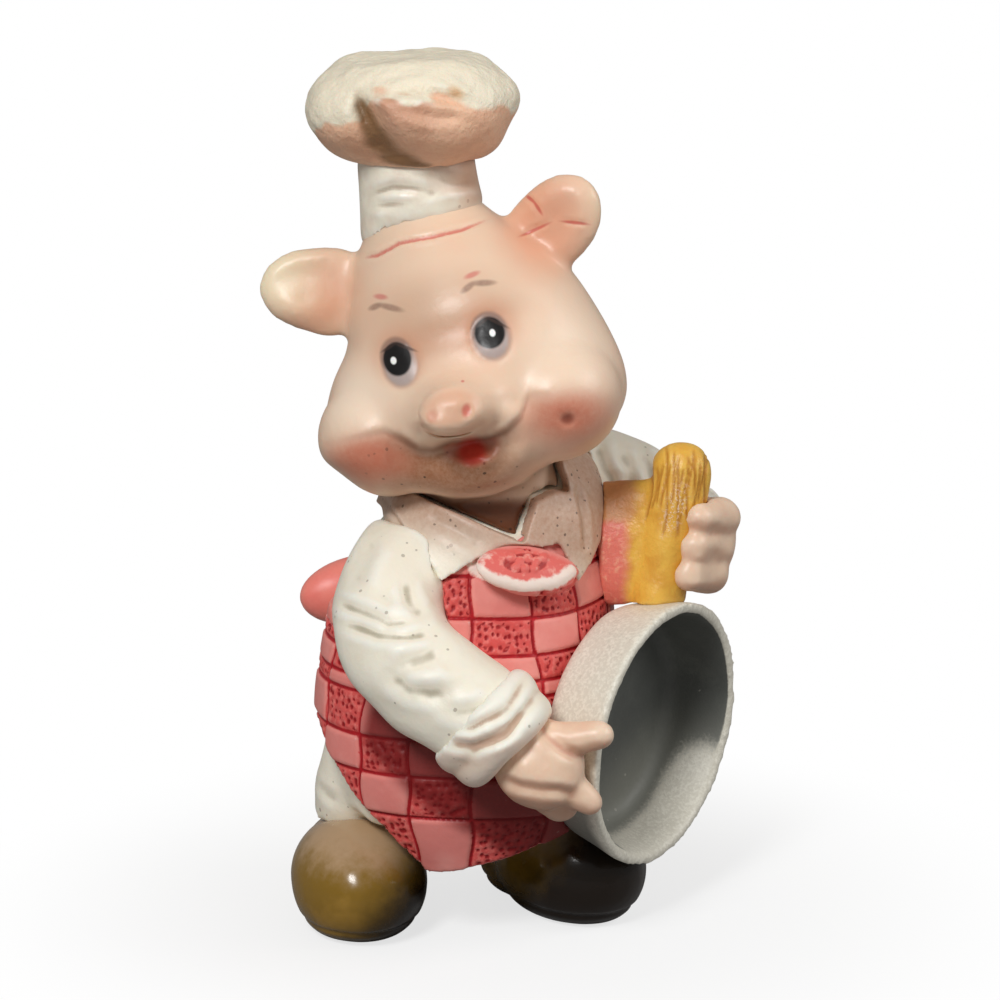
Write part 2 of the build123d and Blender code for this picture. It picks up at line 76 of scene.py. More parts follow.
class Clay:
    """The points of a piece while it is sculpted, in millimetres, in a frame that follows the piece."""

    def __init__(self, piece, place=Matrix()):
        self.mesh = piece.data
        self.turn = np.array(place.to_3x3())
        self.origin = np.array(place.translation)
        flat = np.empty(len(self.mesh.vertices) * 3)
        self.mesh.vertices.foreach_get("co", flat)
        self.points = (flat.reshape(-1, 3) * 1000 - self.origin) @ self.turn
        pairs = np.empty(len(self.mesh.edges) * 2, dtype=np.int64)
        self.mesh.edges.foreach_get("vertices", pairs)
        self.pairs = pairs.reshape(-1, 2)
        self.normals = self.outward()

    def outward(self):
        """Puts the points back into the mesh and reads which way its skin faces."""
        place = (self.points @ self.turn.T + self.origin) / 1000
        self.mesh.vertices.foreach_set("co", place.ravel())
        self.mesh.update()
        flat = np.empty(len(self.mesh.vertices) * 3)
        self.mesh.vertex_normals.foreach_get("vector", flat)
        self.normals = flat.reshape(-1, 3) @ self.turn
        return self.normals

    def near(self, at, size):
        """1 at a point, falling softly to 0 at about twice the size from it."""
        return np.exp(-(((self.points - np.array(at)) / np.array(size)) ** 2).sum(1))

    def along(self, path, flat=False):
        """How far each point is from a line through the path, and how far along it, 0 to 1."""
        path = np.array(path, dtype=float)
        points = self.points
        if flat:
            points = points[:, ::2]
        best = np.full(len(self.points), 1e9)
        share = np.zeros(len(self.points))
        for step in range(len(path) - 1):
            run = path[step + 1] - path[step]
            part = np.clip((points - path[step]) @ run / (run @ run), 0, 1)
            gap = np.linalg.norm(points - path[step] - part[:, None] * run, axis=1)
            closer = gap < best
            best[closer] = gap[closer]
            share[closer] = ((step + part) / (len(path) - 1))[closer]
        return best, share

    def push(self, amount, way=None):
        """Moves the skin outwards, or along one direction, by an amount for each point."""
        way = self.normals if way is None else np.array(way, dtype=float)
        self.points = self.points + np.asarray(amount)[:, None] * way

    def swell(self, at, size, height, way=None):
        self.push(self.near(at, size) * height, way)

    def oval(self, at, size, tilt=0.0):
        """How far out each point lies from the middle of an oval seen from the front, 1 on its rim."""
        turn = math.radians(tilt)
        right, up = self.points[:, 0] - at[0], self.points[:, 2] - at[1]
        long, high = right * math.cos(turn) + up * math.sin(turn), up * math.cos(turn) - right * math.sin(turn)
        return np.hypot(long / size[0], high / size[1])

    def front(self):
        """1 where the skin faces the front, 0 on its sides and back."""
        return soft(0.0, 0.5, -self.outward()[:, 1])

    def crease(self, path, width, depth, lip=0.0, share_of=1.0):
        """A tapering groove along a path, with a raised lip on both sides. Returns how deep it is, 0 to 1."""
        gap, share = self.along(path, len(path[0]) == 2)
        ends = np.clip(np.minimum(share, 1 - share) * 5 + 0.25, 0, 1)
        cut = np.exp(-((gap / width) ** 2)) * ends
        edge = np.exp(-(((gap - 2 * width) / width) ** 2)) * ends
        self.push((lip * edge - depth * cut) * share_of)
        return cut

    def lumps(self, size, height, seed=0.0):
        """The slight unevenness of a hand-made form."""
        shift = Vector((seed, -seed, seed * 0.5))
        wave = np.array([noise.noise(Vector(p) / size + shift) for p in self.points])
        self.push(wave * height)

    def ease(self, rounds, keep=None):
        """Evens the skin out, less where keep is near 1."""
        for step in range(rounds):
            around = self.average(self.points)
            share = 0.5 if keep is None else (0.5 * (1 - keep))[:, None]
            self.points = self.points + (around - self.points) * share

    def average(self, values):
        """The mean of each point's neighbours."""
        first, second = self.pairs[:, 0], self.pairs[:, 1]
        count = np.bincount(self.pairs.ravel(), minlength=len(self.points)).clip(1)
        wide = values.reshape(len(self.points), -1)
        total = np.stack([
            np.bincount(first, wide[second, k], len(self.points))
            + np.bincount(second, wide[first, k], len(self.points))
            for k in range(wide.shape[1])
        ], axis=1)
        return (total / count[:, None]).reshape(values.shape)

    def relief(self, spread):
        """Above 0 on ridges and below 0 in hollows, at the scale of spread rounds of evening."""
        smooth = self.points
        for step in range(spread):
            smooth = smooth + (self.average(smooth) - smooth) * 0.6
        height = ((self.points - smooth) * self.outward()).sum(1)
        return height

    def mark(self, name, values):
        """Keeps a value for each point, for the paint."""
        layer = self.mesh.attributes.new(name, "FLOAT", "POINT")
        layer.data.foreach_set("value", np.asarray(values, dtype=np.float32))

    def done(self, spread=6):
        """Puts the sculpted form into the piece, with its hollows and ridges marked for the paint."""
        self.mark("relief", self.relief(spread))
        self.outward()


def soft(low, high, values):
    part = np.clip((values - low) / (high - low), 0, 1)
    return part * part * (3 - 2 * part)


class Tone:
    """A value or colour in a finish; sums on values add Math nodes."""

    def __init__(self, finish, socket):
        self.finish = finish
        self.socket = socket

    def sum(self, operation, first, second=None):
        return self.finish.node("Math", {"operation": operation}, {0: first, 1: second})

    def __add__(self, other):
        return self.sum("ADD", self, other)

    def __radd__(self, other):
        return self.sum("ADD", other, self)

    def __sub__(self, other):
        return self.sum("SUBTRACT", self, other)

    def __rsub__(self, other):
        return self.sum("SUBTRACT", other, self)

    def __mul__(self, other):
        return self.sum("MULTIPLY", self, other)

    def __rmul__(self, other):
        return self.sum("MULTIPLY", other, self)

    def __truediv__(self, other):
        return self.sum("DIVIDE", self, other)

    def __rtruediv__(self, other):
        return self.sum("DIVIDE", other, self)

    def __pow__(self, other):
        return self.sum("POWER", self, other)

    def least(self, other):
        return self.sum("MINIMUM", self, other)

    def most(self, other):
        return self.sum("MAXIMUM", self, other)

    def rise(self, low, high):
        """0 below low, 1 above high and smooth between; high may be the smaller one."""
        if low > high:
            return 1 - self.rise(high, low)
        sockets = {"Value": self, "From Min": low, "From Max": high}
        return self.finish.node("MapRange", {"interpolation_type": "SMOOTHSTEP"}, sockets)


def paint(red, green, blue):
    """A paint as it looks, 0 to 255, in the values that a shader wants."""
    tones = (red / 255, green / 255, blue / 255)
    return tuple(t / 12.92 if t <= 0.04045 else ((t + 0.055) / 1.055) ** 2.4 for t in tones) + (1.0,)


class Finish:
    """A painted finish in the making: colours go on in layers, over the same cast resin."""

    def __init__(self, name, gloss=0.45, wax=0.0, coat=0.0):
        self.material = bpy.data.materials.new(name)
        self.material.use_nodes = True
        self.tree = self.material.node_tree
        self.shader = self.tree.nodes["Principled BSDF"]
        self.shader.inputs["Roughness"].default_value = gloss
        self.shader.inputs["Subsurface Weight"].default_value = wax
        self.shader.inputs["Subsurface Radius"].default_value = (1.0, 0.45, 0.3)
        self.shader.inputs["Subsurface Scale"].default_value = 0.0016
        self.shader.inputs["Coat Weight"].default_value = coat
        self.shader.inputs["Coat Roughness"].default_value = 0.12
        self.place = self.node("TexCoord", {}, {}, "Object")
        self.colour = None
        self.height = None

    def node(self, kind, settings, sockets, output=0):
        """Any node, with its settings made first and then its sockets set or linked."""
        node = self.tree.nodes.new("ShaderNode" + kind)
        for key, value in settings.items():
            setattr(node, key, value)
        for key, value in sockets.items():
            if isinstance(value, Tone):
                self.tree.links.new(value.socket, node.inputs[key])
            elif value is not None:
                node.inputs[key].default_value = value
        return Tone(self, node.outputs[output])

    def worn(self, name):
        """A value that the sculptor left on the piece."""
        return self.node("Attribute", {"attribute_name": name}, {}, "Fac")

    def grain(self, size, detail=4.0, rough=0.55, place=None, kind="fBM"):
        """Noise with features of about size millimetres, 0 to 1."""
        sockets = {"Vector": place or self.place, "Scale": 1000 / size, "Detail": detail, "Roughness": rough}
        return self.node("TexNoise", {"noise_type": kind.upper() if kind != "fBM" else "FBM"}, sockets, "Fac")

    def specks(self, size, place=None):
        """Distance from scattered points about size millimetres apart, 0 to 1."""
        return self.node("TexVoronoi", {}, {"Vector": place or self.place, "Scale": 1000 / size}, "Distance")

    def spot(self, at, size, turn=(0, 0, 0), blur=0.3):
        """A mask, 1 inside an oval of those half sizes in millimetres round a point and 0 outside."""
        sockets = {"Vector": self.place, "Location": Vector(at) / 1000, "Rotation": turn, "Scale": Vector(size) / 1000}
        local = self.node("Mapping", {"vector_type": "TEXTURE"}, sockets)
        reach = self.node("VectorMath", {"operation": "LENGTH"}, {0: local}, "Value")
        return reach.rise(1 + blur, 1 - blur)

    def over(self, mask, colour):
        """Lays a colour over what is there, where the mask is."""
        if self.colour is None:
            self.colour = colour
            return
        sockets = {0: mask, 6: self.colour, 7: colour}
        self.colour = self.node("Mix", {"data_type": "RGBA"}, sockets, 2)

    def dent(self, height, depth):
        """Adds a fine unevenness, depth millimetres where height goes from 0 to 1."""
        part = height * depth
        self.height = part if self.height is None else self.height + part

    def lay(self, piece, roughness=None):
        """Closes the finish and puts it on a piece."""
        if isinstance(self.colour, Tone):
            self.tree.links.new(self.colour.socket, self.shader.inputs["Base Color"])
        else:
            self.shader.inputs["Base Color"].default_value = self.colour
        if roughness is not None:
            self.tree.links.new(roughness.socket, self.shader.inputs["Roughness"])
        if self.height is not None:
            bump = self.node("Bump", {}, {"Height": self.height, "Distance": 0.001, "Strength": 1.0})
            self.tree.links.new(bump.socket, self.shader.inputs["Normal"])
        piece.data.materials.append(self.material)
        return self.material


for side, shade_shift in (("right", 4.0), ("left", -2.0)):
    shoe = cast("glazed_shoe_" + side, [side + "_shoe"], 0.5, 30, 1)
    clay = Clay(shoe)
    sole = clay.points[:, 2]
    clay.push(-0.22 * np.exp(-(((sole - 1.7) / 0.3) ** 2)))
    clay.lumps(6.0, 0.22, 3.0)
    clay.points[:, 2] = np.maximum(clay.points[:, 2], 0)
    middle = (clay.points.max(0) + clay.points.min(0)) / 2
    # Painted shade: how far each point lies on the side of the shoe turned away from the lamp.
    clay.mark("shaded_side", soft(shade_shift - 5.5, shade_shift + 4.5, (clay.points - middle) @ np.array((0.75, -0.3, -0.58))))
    clay.done()
    glaze = Finish("brown_glaze_" + side, 0.2, 0.0, 0.25)
    glaze.shader.inputs["Specular IOR Level"].default_value = 0.3
    run = glaze.grain(5.0, 3.0)
    flow = glaze.grain(1.6, 4.0, 0.6)
    height = glaze.node("SeparateXYZ", {}, {0: glaze.place}, 2) * 1000
    shaded_side = glaze.worn("shaded_side")
    glaze.over(None, paint(134, 102, 32))
    glaze.over((run * 0.7 + flow * 0.3).rise(0.46, 0.66) * 0.6, paint(164, 126, 52))
    glaze.over((height + flow * 4).rise(8.6, 12.4) * 0.85, paint(186, 156, 124))
    # Painted shade on the side of the shoe away from the lamp.
    glaze.over((shaded_side + flow * 0.35 - 0.17).rise(0.05, 0.9), paint(26, 15, 4))
    # Painted shade at the foot of the shoe, next to the sole.
    glaze.over((height + flow * 2).rise(2.6, 1.0) * 0.8, paint(34, 20, 6))
    glaze.dent(run, 0.12)
    glaze.lay(shoe, 0.16 + flow * 0.16)
    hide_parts(side + "_shoe")
    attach(shoe, "root")


# The trousers: the seat and two short full legs, cast in one with the body and painted ivory,
# gathered in soft folds where each leg meets its shoe.
def ivory(name):
    """Ivory paint with a grey-green wash left in the hollows and specks of shop dirt."""
    cloth = Finish(name, 0.42, 0.12)
    wash = cloth.grain(4.0, 5.0)
    fine = cloth.grain(0.8, 4.0)
    relief = cloth.worn("relief")
    cloth.over(None, paint(246, 239, 221))
    cloth.over(wash.rise(0.5, 0.75) * 0.5, paint(234, 224, 202))
    cloth.over((relief * -1 + fine * 0.02).rise(0.015, 0.09) * 0.8, paint(176, 166, 142))
    cloth.over((relief + fine * 0.02).rise(0.02, 0.09) * 0.7, paint(250, 247, 236))
    cloth.over((cloth.specks(1.5) + wash * 0.5).rise(0.34, 0.3) * 0.45, paint(96, 78, 58))
    cloth.dent(fine, 0.05)
    cloth.dent(wash, 0.12)
    return cloth, 0.36 + wash * 0.2


trousers = cast("ivory_trousers", ["trousers"], 0.5, 10, 1)
clay = Clay(trousers)
clay.lumps(7.0, 0.35, 1.0)
for x, y in ((-13.0, 3.6), (4.4, 0.9)):
    for turn, drop, reach in ((-150, 0.0, 1.2), (-95, 0.9, 1.0), (-40, 0.3, 1.3), (15, 1.1, 1.0), (80, 0.2, 1.2), (140, 0.8, 1.1)):
        ring = [math.radians(turn + step * 14) for step in range(5)]
        path = [(x + 5.6 * math.cos(a), y + 5.6 * math.sin(a), 12.3 + drop + 0.5 * math.sin(3 * a)) for a in ring]
        clay.crease(path, 0.6, 0.16, 0.08)
clay.crease([(-4.2, 16.4, z) for z in (12, 15, 18, 21, 25)], 0.4, 0.5, 0.15)
clay.done()
cloth, shine = ivory("trouser_ivory")
cloth.lay(trousers, shine)
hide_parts("trousers")
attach(trousers, "root")

# The shirt body: the ivory round of the chest and back, mostly under the apron and the collar.
# It is one casting with the trousers, pulled into folds round the tie.
shirt = cast("ivory_shirt", ["shirt_body"], 0.5, 6, 1)
clay = Clay(shirt)
clay.lumps(6.0, 0.3, 2.0)
clay.swell((-11.7, 5.2, 41.7), (2.5, 4, 2.0), 0.9, (0.85, -0.1, -0.5))
for x, lean in ((-9.5, 1.6), (-6.0, 0.8), (-2.5, -0.5), (1.2, 0.6), (4.6, -1.2)):
    clay.crease([(x + lean * t, 16.0 - 1.4 * t, 31.5 + 7 * t) for t in (0, 0.35, 0.7, 1)], 0.5, 0.4, 0.2)
clay.done()
cloth, shine = ivory("shirt_ivory")
cloth.lay(shirt, shine)
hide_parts("shirt_body")
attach(shirt, "root")

# The apron: thick cast cloth over the belly with a bib, scored into a check and washed with red.
# Every other square is pitted with a tool, and the bib's top edge is a turned-out lip of five beads.
GAZE = Matrix.Translation((-3.878, 1.934, 52.6)) @ Euler((math.radians(-14), 0, math.radians(-20))).to_matrix().to_4x4()
APRON_AXIS = (-3.88, 2.93)
CHECK_TURNS = (-150, -128, -107, -85, -63, -42, -18.5, 11.5, 37, 62, 86, 110, 135, 160)
CHECK_LEVELS = (37.2, 33.3, 29.8, 27.4, 25.9, 21.7, 18.1, 13.8)
apron = cast("check_apron", ["apron"], 0.24, 8)
clay = Clay(apron, GAZE)
clay.lumps(5.0, 0.2, 4.0)
place = clay.points @ clay.turn.T + clay.origin
facing = clay.normals @ clay.turn.T
out = place[:, :2] - np.array(APRON_AXIS)
reach = np.linalg.norm(out, axis=1)
turn = np.degrees(np.arctan2(out[:, 0], -out[:, 1]))
level = place[:, 2] + 0.25 * np.sin(np.radians(turn * 3.1))
outside = soft(0.15, 0.45, (facing[:, :2] * out).sum(1) / reach)
lens = soft(1.12, 0.98, clay.oval((4.85, -16.4), (5.15, 1.9), -6)) * soft(-0.3, 0.1, -clay.normals[:, 1])
column = np.searchsorted(CHECK_TURNS, turn)
row = len(CHECK_LEVELS) - np.searchsorted(sorted(CHECK_LEVELS), level)
stippled = ((column + row) % 2 == 1).astype(float)
gap_turn = np.min([np.abs(turn - line + 0.8 * np.sin(level * 0.9 + line)) for line in CHECK_TURNS], axis=0)
gap = np.minimum(np.radians(gap_turn) * reach, np.min([np.abs(level - line) for line in CHECK_LEVELS], axis=0))
score = np.exp(-((gap / 0.22) ** 2)) * outside * (1 - lens)
draw = np.random.default_rng(11)
pits = []
for angle in np.arange(-150, 160, 3.0):
    for height in np.arange(7.5, 46, 0.78):
        pits.append((angle + draw.uniform(-1.1, 1.1), height + draw.uniform(-0.3, 0.3), draw.uniform(0.18, 0.36)))
pits = np.array(pits)
tree = kdtree.KDTree(len(pits))
for index, (angle, height, size) in enumerate(pits):
    tree.insert((math.radians(angle) * 14.5, height, 0), index)
tree.balance()
pit = np.zeros(len(clay.points))
for index in np.nonzero((stippled > 0) & (outside > 0.2) & (gap > 0.35) & (lens < 0.3))[0]:
    spot, number, far = tree.find((math.radians(turn[index]) * 14.5, place[index, 2], 0))
    pit[index] = math.exp(-((far / pits[number, 2]) ** 2) * 1.2)
clay.push(-0.34 * score - 0.26 * pit * outside + 0.1 * (1 - stippled) * outside * (1 - lens))
far, share = clay.along([(-0.3, -15.6), (1.8, -17.2), (5.1, -18.1), (8.1, -17.6), (9.9, -16.4)], True)
rim = np.exp(-((far / 0.6) ** 2)) * lens
clay.push(0.22 * rim)
rim = np.maximum(rim, 0.55 * soft(0.5, 1.0, clay.oval((4.85, -16.4), (5.15, 1.9), -6)) * lens * soft(3.4, 0.5, clay.points[:, 0]))
bead = np.zeros(len(clay.points))
for at in ((3.9, -15.1), (4.7, -15.5), (5.5, -15.2), (6.3, -15.5), (7.0, -15.2), (4.3, -16.1), (5.2, -16.2), (6.1, -16.2)):
    bead = np.maximum(bead, soft(1.6, 0.7, clay.oval(at, (0.34, 0.34))) * lens)
beading = soft(1.1, 0.9, clay.oval((5.2, -15.7), (2.2, 1.0))) * lens
clay.push(0.2 * bead - 0.06 * beading * (1 - bead))
clay.mark("stipple", stippled * outside * (1 - lens))
clay.mark("score", score)
clay.mark("pit", np.maximum(pit * outside, 0.6 * beading * (1 - bead)))
clay.mark("rim", rim)
# Painted shadow: the strip of apron under the arm, the cuff and the hand is darkened as the arm's shadow.
far, share = clay.along([(-6.5, -32.0), (-1.0, -37.0), (6.0, -41.0), (9.0, -41.5)], True)
clay.mark("arm_shade", soft(6.0, 2.0, far) * outside)
clay.mark("lens", lens)
clay.done()
check = Finish("red_check", 0.4, 0.1)
check.shader.inputs["Specular IOR Level"].default_value = 0.25
wash = check.grain(5.0, 5.0)
fine = check.grain(0.7, 4.0)
relief = check.worn("relief")
stipple, score, pit = check.worn("stipple"), check.worn("score"), check.worn("pit")
check.over(None, paint(230, 136, 128))
check.over(wash.rise(0.4, 0.7) * 0.6, paint(238, 160, 150))
check.over((stipple + fine * 0.3).rise(0.5, 0.75), paint(216, 88, 84))
check.over((stipple * fine).rise(0.46, 0.62) * 0.7, paint(232, 124, 116))
check.over(check.worn("lens") * 0.8, paint(226, 100, 92))
check.over(check.worn("lens") * fine.rise(0.5, 0.7) * 0.6, paint(244, 170, 156))
check.over(pit.rise(0.25, 0.75), paint(152, 24, 30))
check.over((score + fine * 0.2).rise(0.4, 0.85), paint(178, 22, 34))
check.over((relief * -1 + wash * 0.05).rise(0.05, 0.16) * 0.7, paint(150, 26, 30))
check.over((relief + fine * 0.03).rise(0.09, 0.17) * 0.6, paint(244, 196, 186))
# The painted shadow of the arm, in deep red.
check.over((check.worn("arm_shade") + wash * 0.5 - 0.25).rise(0.1, 0.8) * 0.88, paint(112, 8, 12))
check.over((check.worn("rim") + fine * 0.9 - 0.3).rise(0.3, 0.75) * 0.95, paint(244, 228, 216))
check.dent(fine, 0.05)
check.lay(apron, 0.34 + fine * 0.22)
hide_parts("apron")
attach(apron, "root")

# The waist tie and its bow: a flat band round the back and a puffed bow with two loose ends,
# cast on the back of the figure and painted the plain salmon red of the apron.
for name, node, grain in (("salmon_tie", "waist_tie", 0.3), ("salmon_bow", "apron_bow", 0.28)):
    band = cast(name, [node], grain, 8)
    clay = Clay(band)
    clay.lumps(4.0, 0.15, 5.0)
    if node == "apron_bow":
        for side in (-1, 1):
            for lift in (-1.2, 0.2, 1.5):
                clay.crease([(-4.18 + side * (2.4 + 3.2 * t), 19.5, 30.2 + lift * (0.4 + t)) for t in (0, 0.5, 1)], 0.35, 0.4, 0.15)
    clay.done()
    salmon = Finish(name + "_paint", 0.36, 0.1)
    wash = salmon.grain(3.0, 5.0)
    relief = salmon.worn("relief")
    salmon.over(None, paint(247, 142, 128))
    salmon.over(wash.rise(0.45, 0.75) * 0.6, paint(236, 116, 106))
    salmon.over((relief * -1).rise(0.02, 0.1) * 0.8, paint(178, 40, 46))
    salmon.over(relief.rise(0.04, 0.12) * 0.6, paint(250, 176, 162))
    salmon.dent(wash, 0.08)
    salmon.lay(band, 0.3 + wash * 0.2)
    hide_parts(node)
    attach(band, "root")


# The curled tail: a short twist of pink resin under the bow.
def skin(name):
    """Pale pink resin that lets a little light in, shaded with peach in the hollows."""
    flesh = Finish(name, 0.38, 0.22)
    wash = flesh.grain(6.0, 4.0)
    fine = flesh.grain(0.9, 3.0)
    relief = flesh.worn("relief")
    flesh.over(None, paint(238, 207, 180))
    flesh.over(wash.rise(0.4, 0.75) * 0.5, paint(241, 199, 171))
    flesh.over((relief * -1 + fine * 0.02).rise(0.02, 0.12) * 0.7, paint(204, 132, 108))
    flesh.over((relief + fine * 0.02).rise(0.03, 0.13) * 0.5, paint(250, 232, 212))
    flesh.dent(fine, 0.03)
    return flesh, 0.32 + wash * 0.14


tail = cast("pink_tail", ["tail"], 0.25, 8)
clay = Clay(tail)
clay.done()
flesh, shine = skin("tail_pink")
flesh.lay(tail, shine)
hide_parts("tail")
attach(tail, "root")

# The collar: a turned-down shirt collar with two pointed flaps, open over the throat, on the shoulders.
# It is painted brown towards the neck, partly as a wash and partly as painted shade under the chin, and dirt has stayed
# in it.
collar = cast("ivory_collar", ["collar"], 0.24, 5)
clay = Clay(collar, GAZE)
clay.swell((-10.0, -3, -9.6), (1.9, 9, 1.5), 1.8, (1, 0.3, 0))
clay.swell((-8.1, 1.4, -10.7), (1.7, 3.6, 1.6), 0.9, (-0.7, -0.5, -0.5))
clay.lumps(4.0, 0.2, 6.0)
front = clay.front()
clay.crease([(-8.6, -9.6), (-6.9, -12.2), (-4.6, -15.4), (-3.4, -16.9)], 0.22, 0.2, 0.12, front)
clay.crease([(-4.4, -11.0), (-1.4, -12.6), (1.2, -14.2)], 0.7, 0.25, 0.1, front)
clay.crease([(10.4, -8.6), (11.0, -11.4), (11.2, -14.4)], 0.3, 0.25, 0.12, front)
# Darker towards the neck: a brown wash together with painted shade under the chin.
clay.mark("wash", soft(-18.0, -11.0, clay.points[:, 2] + 0.25 * clay.points[:, 0]))
clay.done()
cloth, shine = ivory("collar_ivory")
dirt = cloth.grain(0.5, 4.0, 0.7)
# The brown of the wash and of the painted shade under the chin.
cloth.over(cloth.worn("wash") * (0.6 + dirt * 0.5), paint(180, 140, 116))
cloth.over((cloth.specks(1.0) + dirt * 0.4).rise(0.36, 0.3) * cloth.worn("wash") * 0.7, paint(60, 38, 24))
cloth.lay(collar, shine)
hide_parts("collar")
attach(collar, "root")

# The head with its ears: a pear-shaped round with full cheeks, a small snout and an open smile.
# It is one casting, sculpted in clay first; the eyes, the brows and the blush are put on with a brush.
head = cast("pink_head", ["head", "right_ear", "left_ear"], 0.45, 14, 1)
clay = Clay(head, GAZE)
clay.ease(120, 1 - clay.near((-1.0, -15, -2.0), (5.2, 7, 4.4)))
ears = np.maximum(clay.near((-16.5, 2, 10.5), (4.5, 12, 4.5)), clay.near((8, 4, 18), (4.5, 12, 4.5)))
clay.ease(60, 1 - ears)
front = clay.front()
clay.push(0.9 * soft(1.3, 0.2, clay.oval((-16.4, 10.2), (3.4, 2.4), 12)) * front, (0, -1, 0))
clay.push(0.9 * soft(1.3, 0.2, clay.oval((8.0, 18.0), (2.6, 3.2), -20)) * front, (0, -1, 0))
clay.swell((-12.4, 1, 13.4), (2.8, 6, 1.8), 1.1, (-0.2, 0, 1))
clay.swell((-13.4, 1, 6.9), (2.4, 6, 1.8), 1.0, (-0.4, 0, -0.9))
clay.swell((3.9, 3, 18.6), (1.8, 6, 2.4), 1.2, (-0.9, 0, 0.4))
clay.swell((8.2, 3, 13.2), (2.0, 6, 1.8), 0.6, (0.5, 0, -0.8))
clay.swell((-12.7, 0, 5.4), (2.0, 8, 2.6), 0.6, (1, 0, 0))
clay.swell((-12.2, -4, -8.0), (4.5, 8, 2.2), 0.9, (0.3, 0, 1))
gap, share = clay.along([(-10.2, 3.6), (-7.1, 4.6), (-3.9, 5.6), (-1.1, 6.3), (1.8, 7.2), (4.7, 8.1)], True)
socket = np.exp(-((gap / 2.0) ** 2)) * front
clay.push(0.5 * socket, (0, 1, 0))
for at in ((-4.3, -3.2), (2.7, -2.2)):
    clay.push(0.75 * soft(1.5, 0.3, clay.oval(at, (2.7, 1.6), 5)) * front, (0, -1, 0))
clay.push(0.6 * soft(1.6, 0.5, clay.oval((-1.6, -0.8), (4.2, 3.0), 11)) * front, (0, -1, 0))
clay.push(0.8 * soft(1.45, 0.8, clay.oval((-1.75, -0.75), (3.5, 2.3), 11)) * front, (0, -1, 0))
clay.push(0.6 * soft(1.4, 0.6, clay.oval((-1.9, -2.1), (3.0, 2.0), 11)) * front, (0, -1, 0))
snout = soft(1.2, 0.8, clay.oval((-1.6, -1.2), (3.3, 2.5), 11)) * front
tip = np.quantile(clay.points[snout > 0.9, 1], 0.25)
clay.points[:, 1] += (tip - clay.points[:, 1]) * 0.32 * snout
x, z = clay.points[:, 0], clay.points[:, 2]
SMILE = ((-13.2, -3.8), (-8.3, -2.7), (-6.7, -3.4), (-5.0, -4.4), (-3.7, -4.5), (-1.9, -3.8), (0.1, -3.7),
         (1.9, -3.4), (3.4, -2.7), (4.7, -1.4), (5.4, 0.6), (7.9, 0.7), (12.1, 1.3))
below = np.interp(x, *np.transpose(SMILE)) - z
drop = np.interp(x, (-13, -8.3, -6.7, -5.0, 1.9, 3.4, 4.7, 5.4, 8, 12), (0.1, 0.5, 1.2, 1.7, 1.3, 1.1, 0.7, 0.25, 0.05, 0))
clay.push(drop * soft(-0.1, 0.45, below) * soft(5.5, 1.4, below) * front, (0, 1, 0))
mouth = soft(1.15, 0.6, clay.oval((0.0, -4.1), (3.3, 2.6))) * soft(0.0, 0.6, below) * front
clay.push(0.7 * mouth, (0, -1, 0))
clay.push(0.5 * soft(1.2, 0.5, clay.oval((0.2, -5.1), (1.3, 1.0))) * front, (0, -1, 0))
gap, share = clay.along([(-2.5, -4.9), (-1.5, -6.1), (0.1, -6.8), (1.8, -6.1), (3.1, -4.9)], True)
clay.push(0.4 * np.exp(-((gap / 0.6) ** 2)) * soft(0, 0.3, share) * soft(1, 0.7, share) * front, (0, -1, 0))
clay.push(0.5 * soft(1.5, 0.2, clay.oval((2.3, -6.8), (3.2, 2.0))) * front, (0, -1, 0))
for at, deep in (((-3.6, -1.8), 0.16), ((-0.4, -1.2), 0.34)):
    clay.push(deep * np.exp(-clay.oval(at, (0.5, 0.7), -10) ** 2) * front, (0, 1, 0))
clay.push(0.5 * np.exp(-clay.oval((9.2, -1.9), (0.7, 0.6)) ** 2) * front, (0, 1, 0))
EYES = (((-6.8, 3.4), (1.58, 2.1)), ((1.92, 5.95), (1.7, 2.12)))
for at, size in EYES:
    rim = clay.oval(at, size, 12.8)
    clay.push((0.2 * soft(1.05, 0.5, rim) - 0.12 * np.exp(-(((rim - 1.12) / 0.14) ** 2))) * front, (0, -1, 0))
BRIM = ((-10.9, 14.0), (-9.2, 14.1), (-7.9, 14.7), (-7.0, 15.2), (-3.6, 15.8), (-0.9, 16.5), (1.9, 17.8))
brim = clay.crease(BRIM, 0.22, 0.25, 0.15, front)
for line in (((5.3, 20.1), (6.0, 19.4), (6.8, 18.2)), ((4.9, 16.1), (6.2, 16.9), (7.4, 17.2)), ((8.9, 17.4), (11.2, 17.1))):
    clay.crease(line, 0.22, 0.22, 0.08, front)
clay.ease(4)
clay.ease(12, 1 - clay.near((-1.5, -15, -3.7), (3.6, 8, 0.9)))
clay.ease(70, 1 - clay.near((-3.2, -9, -5.6), (1.4, 5, 1.2)))
clay.mark("front", front)
# Painted shade on the throat under the chin.
clay.mark("throat_shade", soft(-8.9, -10.4, z))
clay.mark("mouth", mouth)
# Painted shade just under the edge of the upper lip.
clay.mark("lip", np.exp(-(((below - 0.35) / 0.4) ** 2)) * soft(-8.5, -5.5, x) * soft(5.0, 3.0, x) * front)
# Painted shade in the hollow across the eyes.
clay.mark("socket", socket * soft(8.5, 2.0, np.abs(x + 2.0)))
clay.mark("brim", brim * front)
clay.mark("blush", front * soft(-1.6, 1.8, below) * np.maximum(
    soft(1.4, 0.2, clay.oval((-10.2, -5.6), (4.8, 3.2))), soft(1.4, 0.2, clay.oval((9.2, -1.6), (5.2, 3.4)))))
# Painted shade below the upper lip and under the chin.
clay.mark("lip_chin_shade", np.maximum(soft(0.0, 1.2, below) * soft(1.6, 0.4, clay.oval((-2.0, -6.5), (7.0, 4.0))) * front, soft(-8.6, -10.4, z)))
clay.done()
flesh, shine = skin("head_pink")
seen = flesh.worn("front")
dirt = flesh.grain(0.5, 4.0, 0.7)


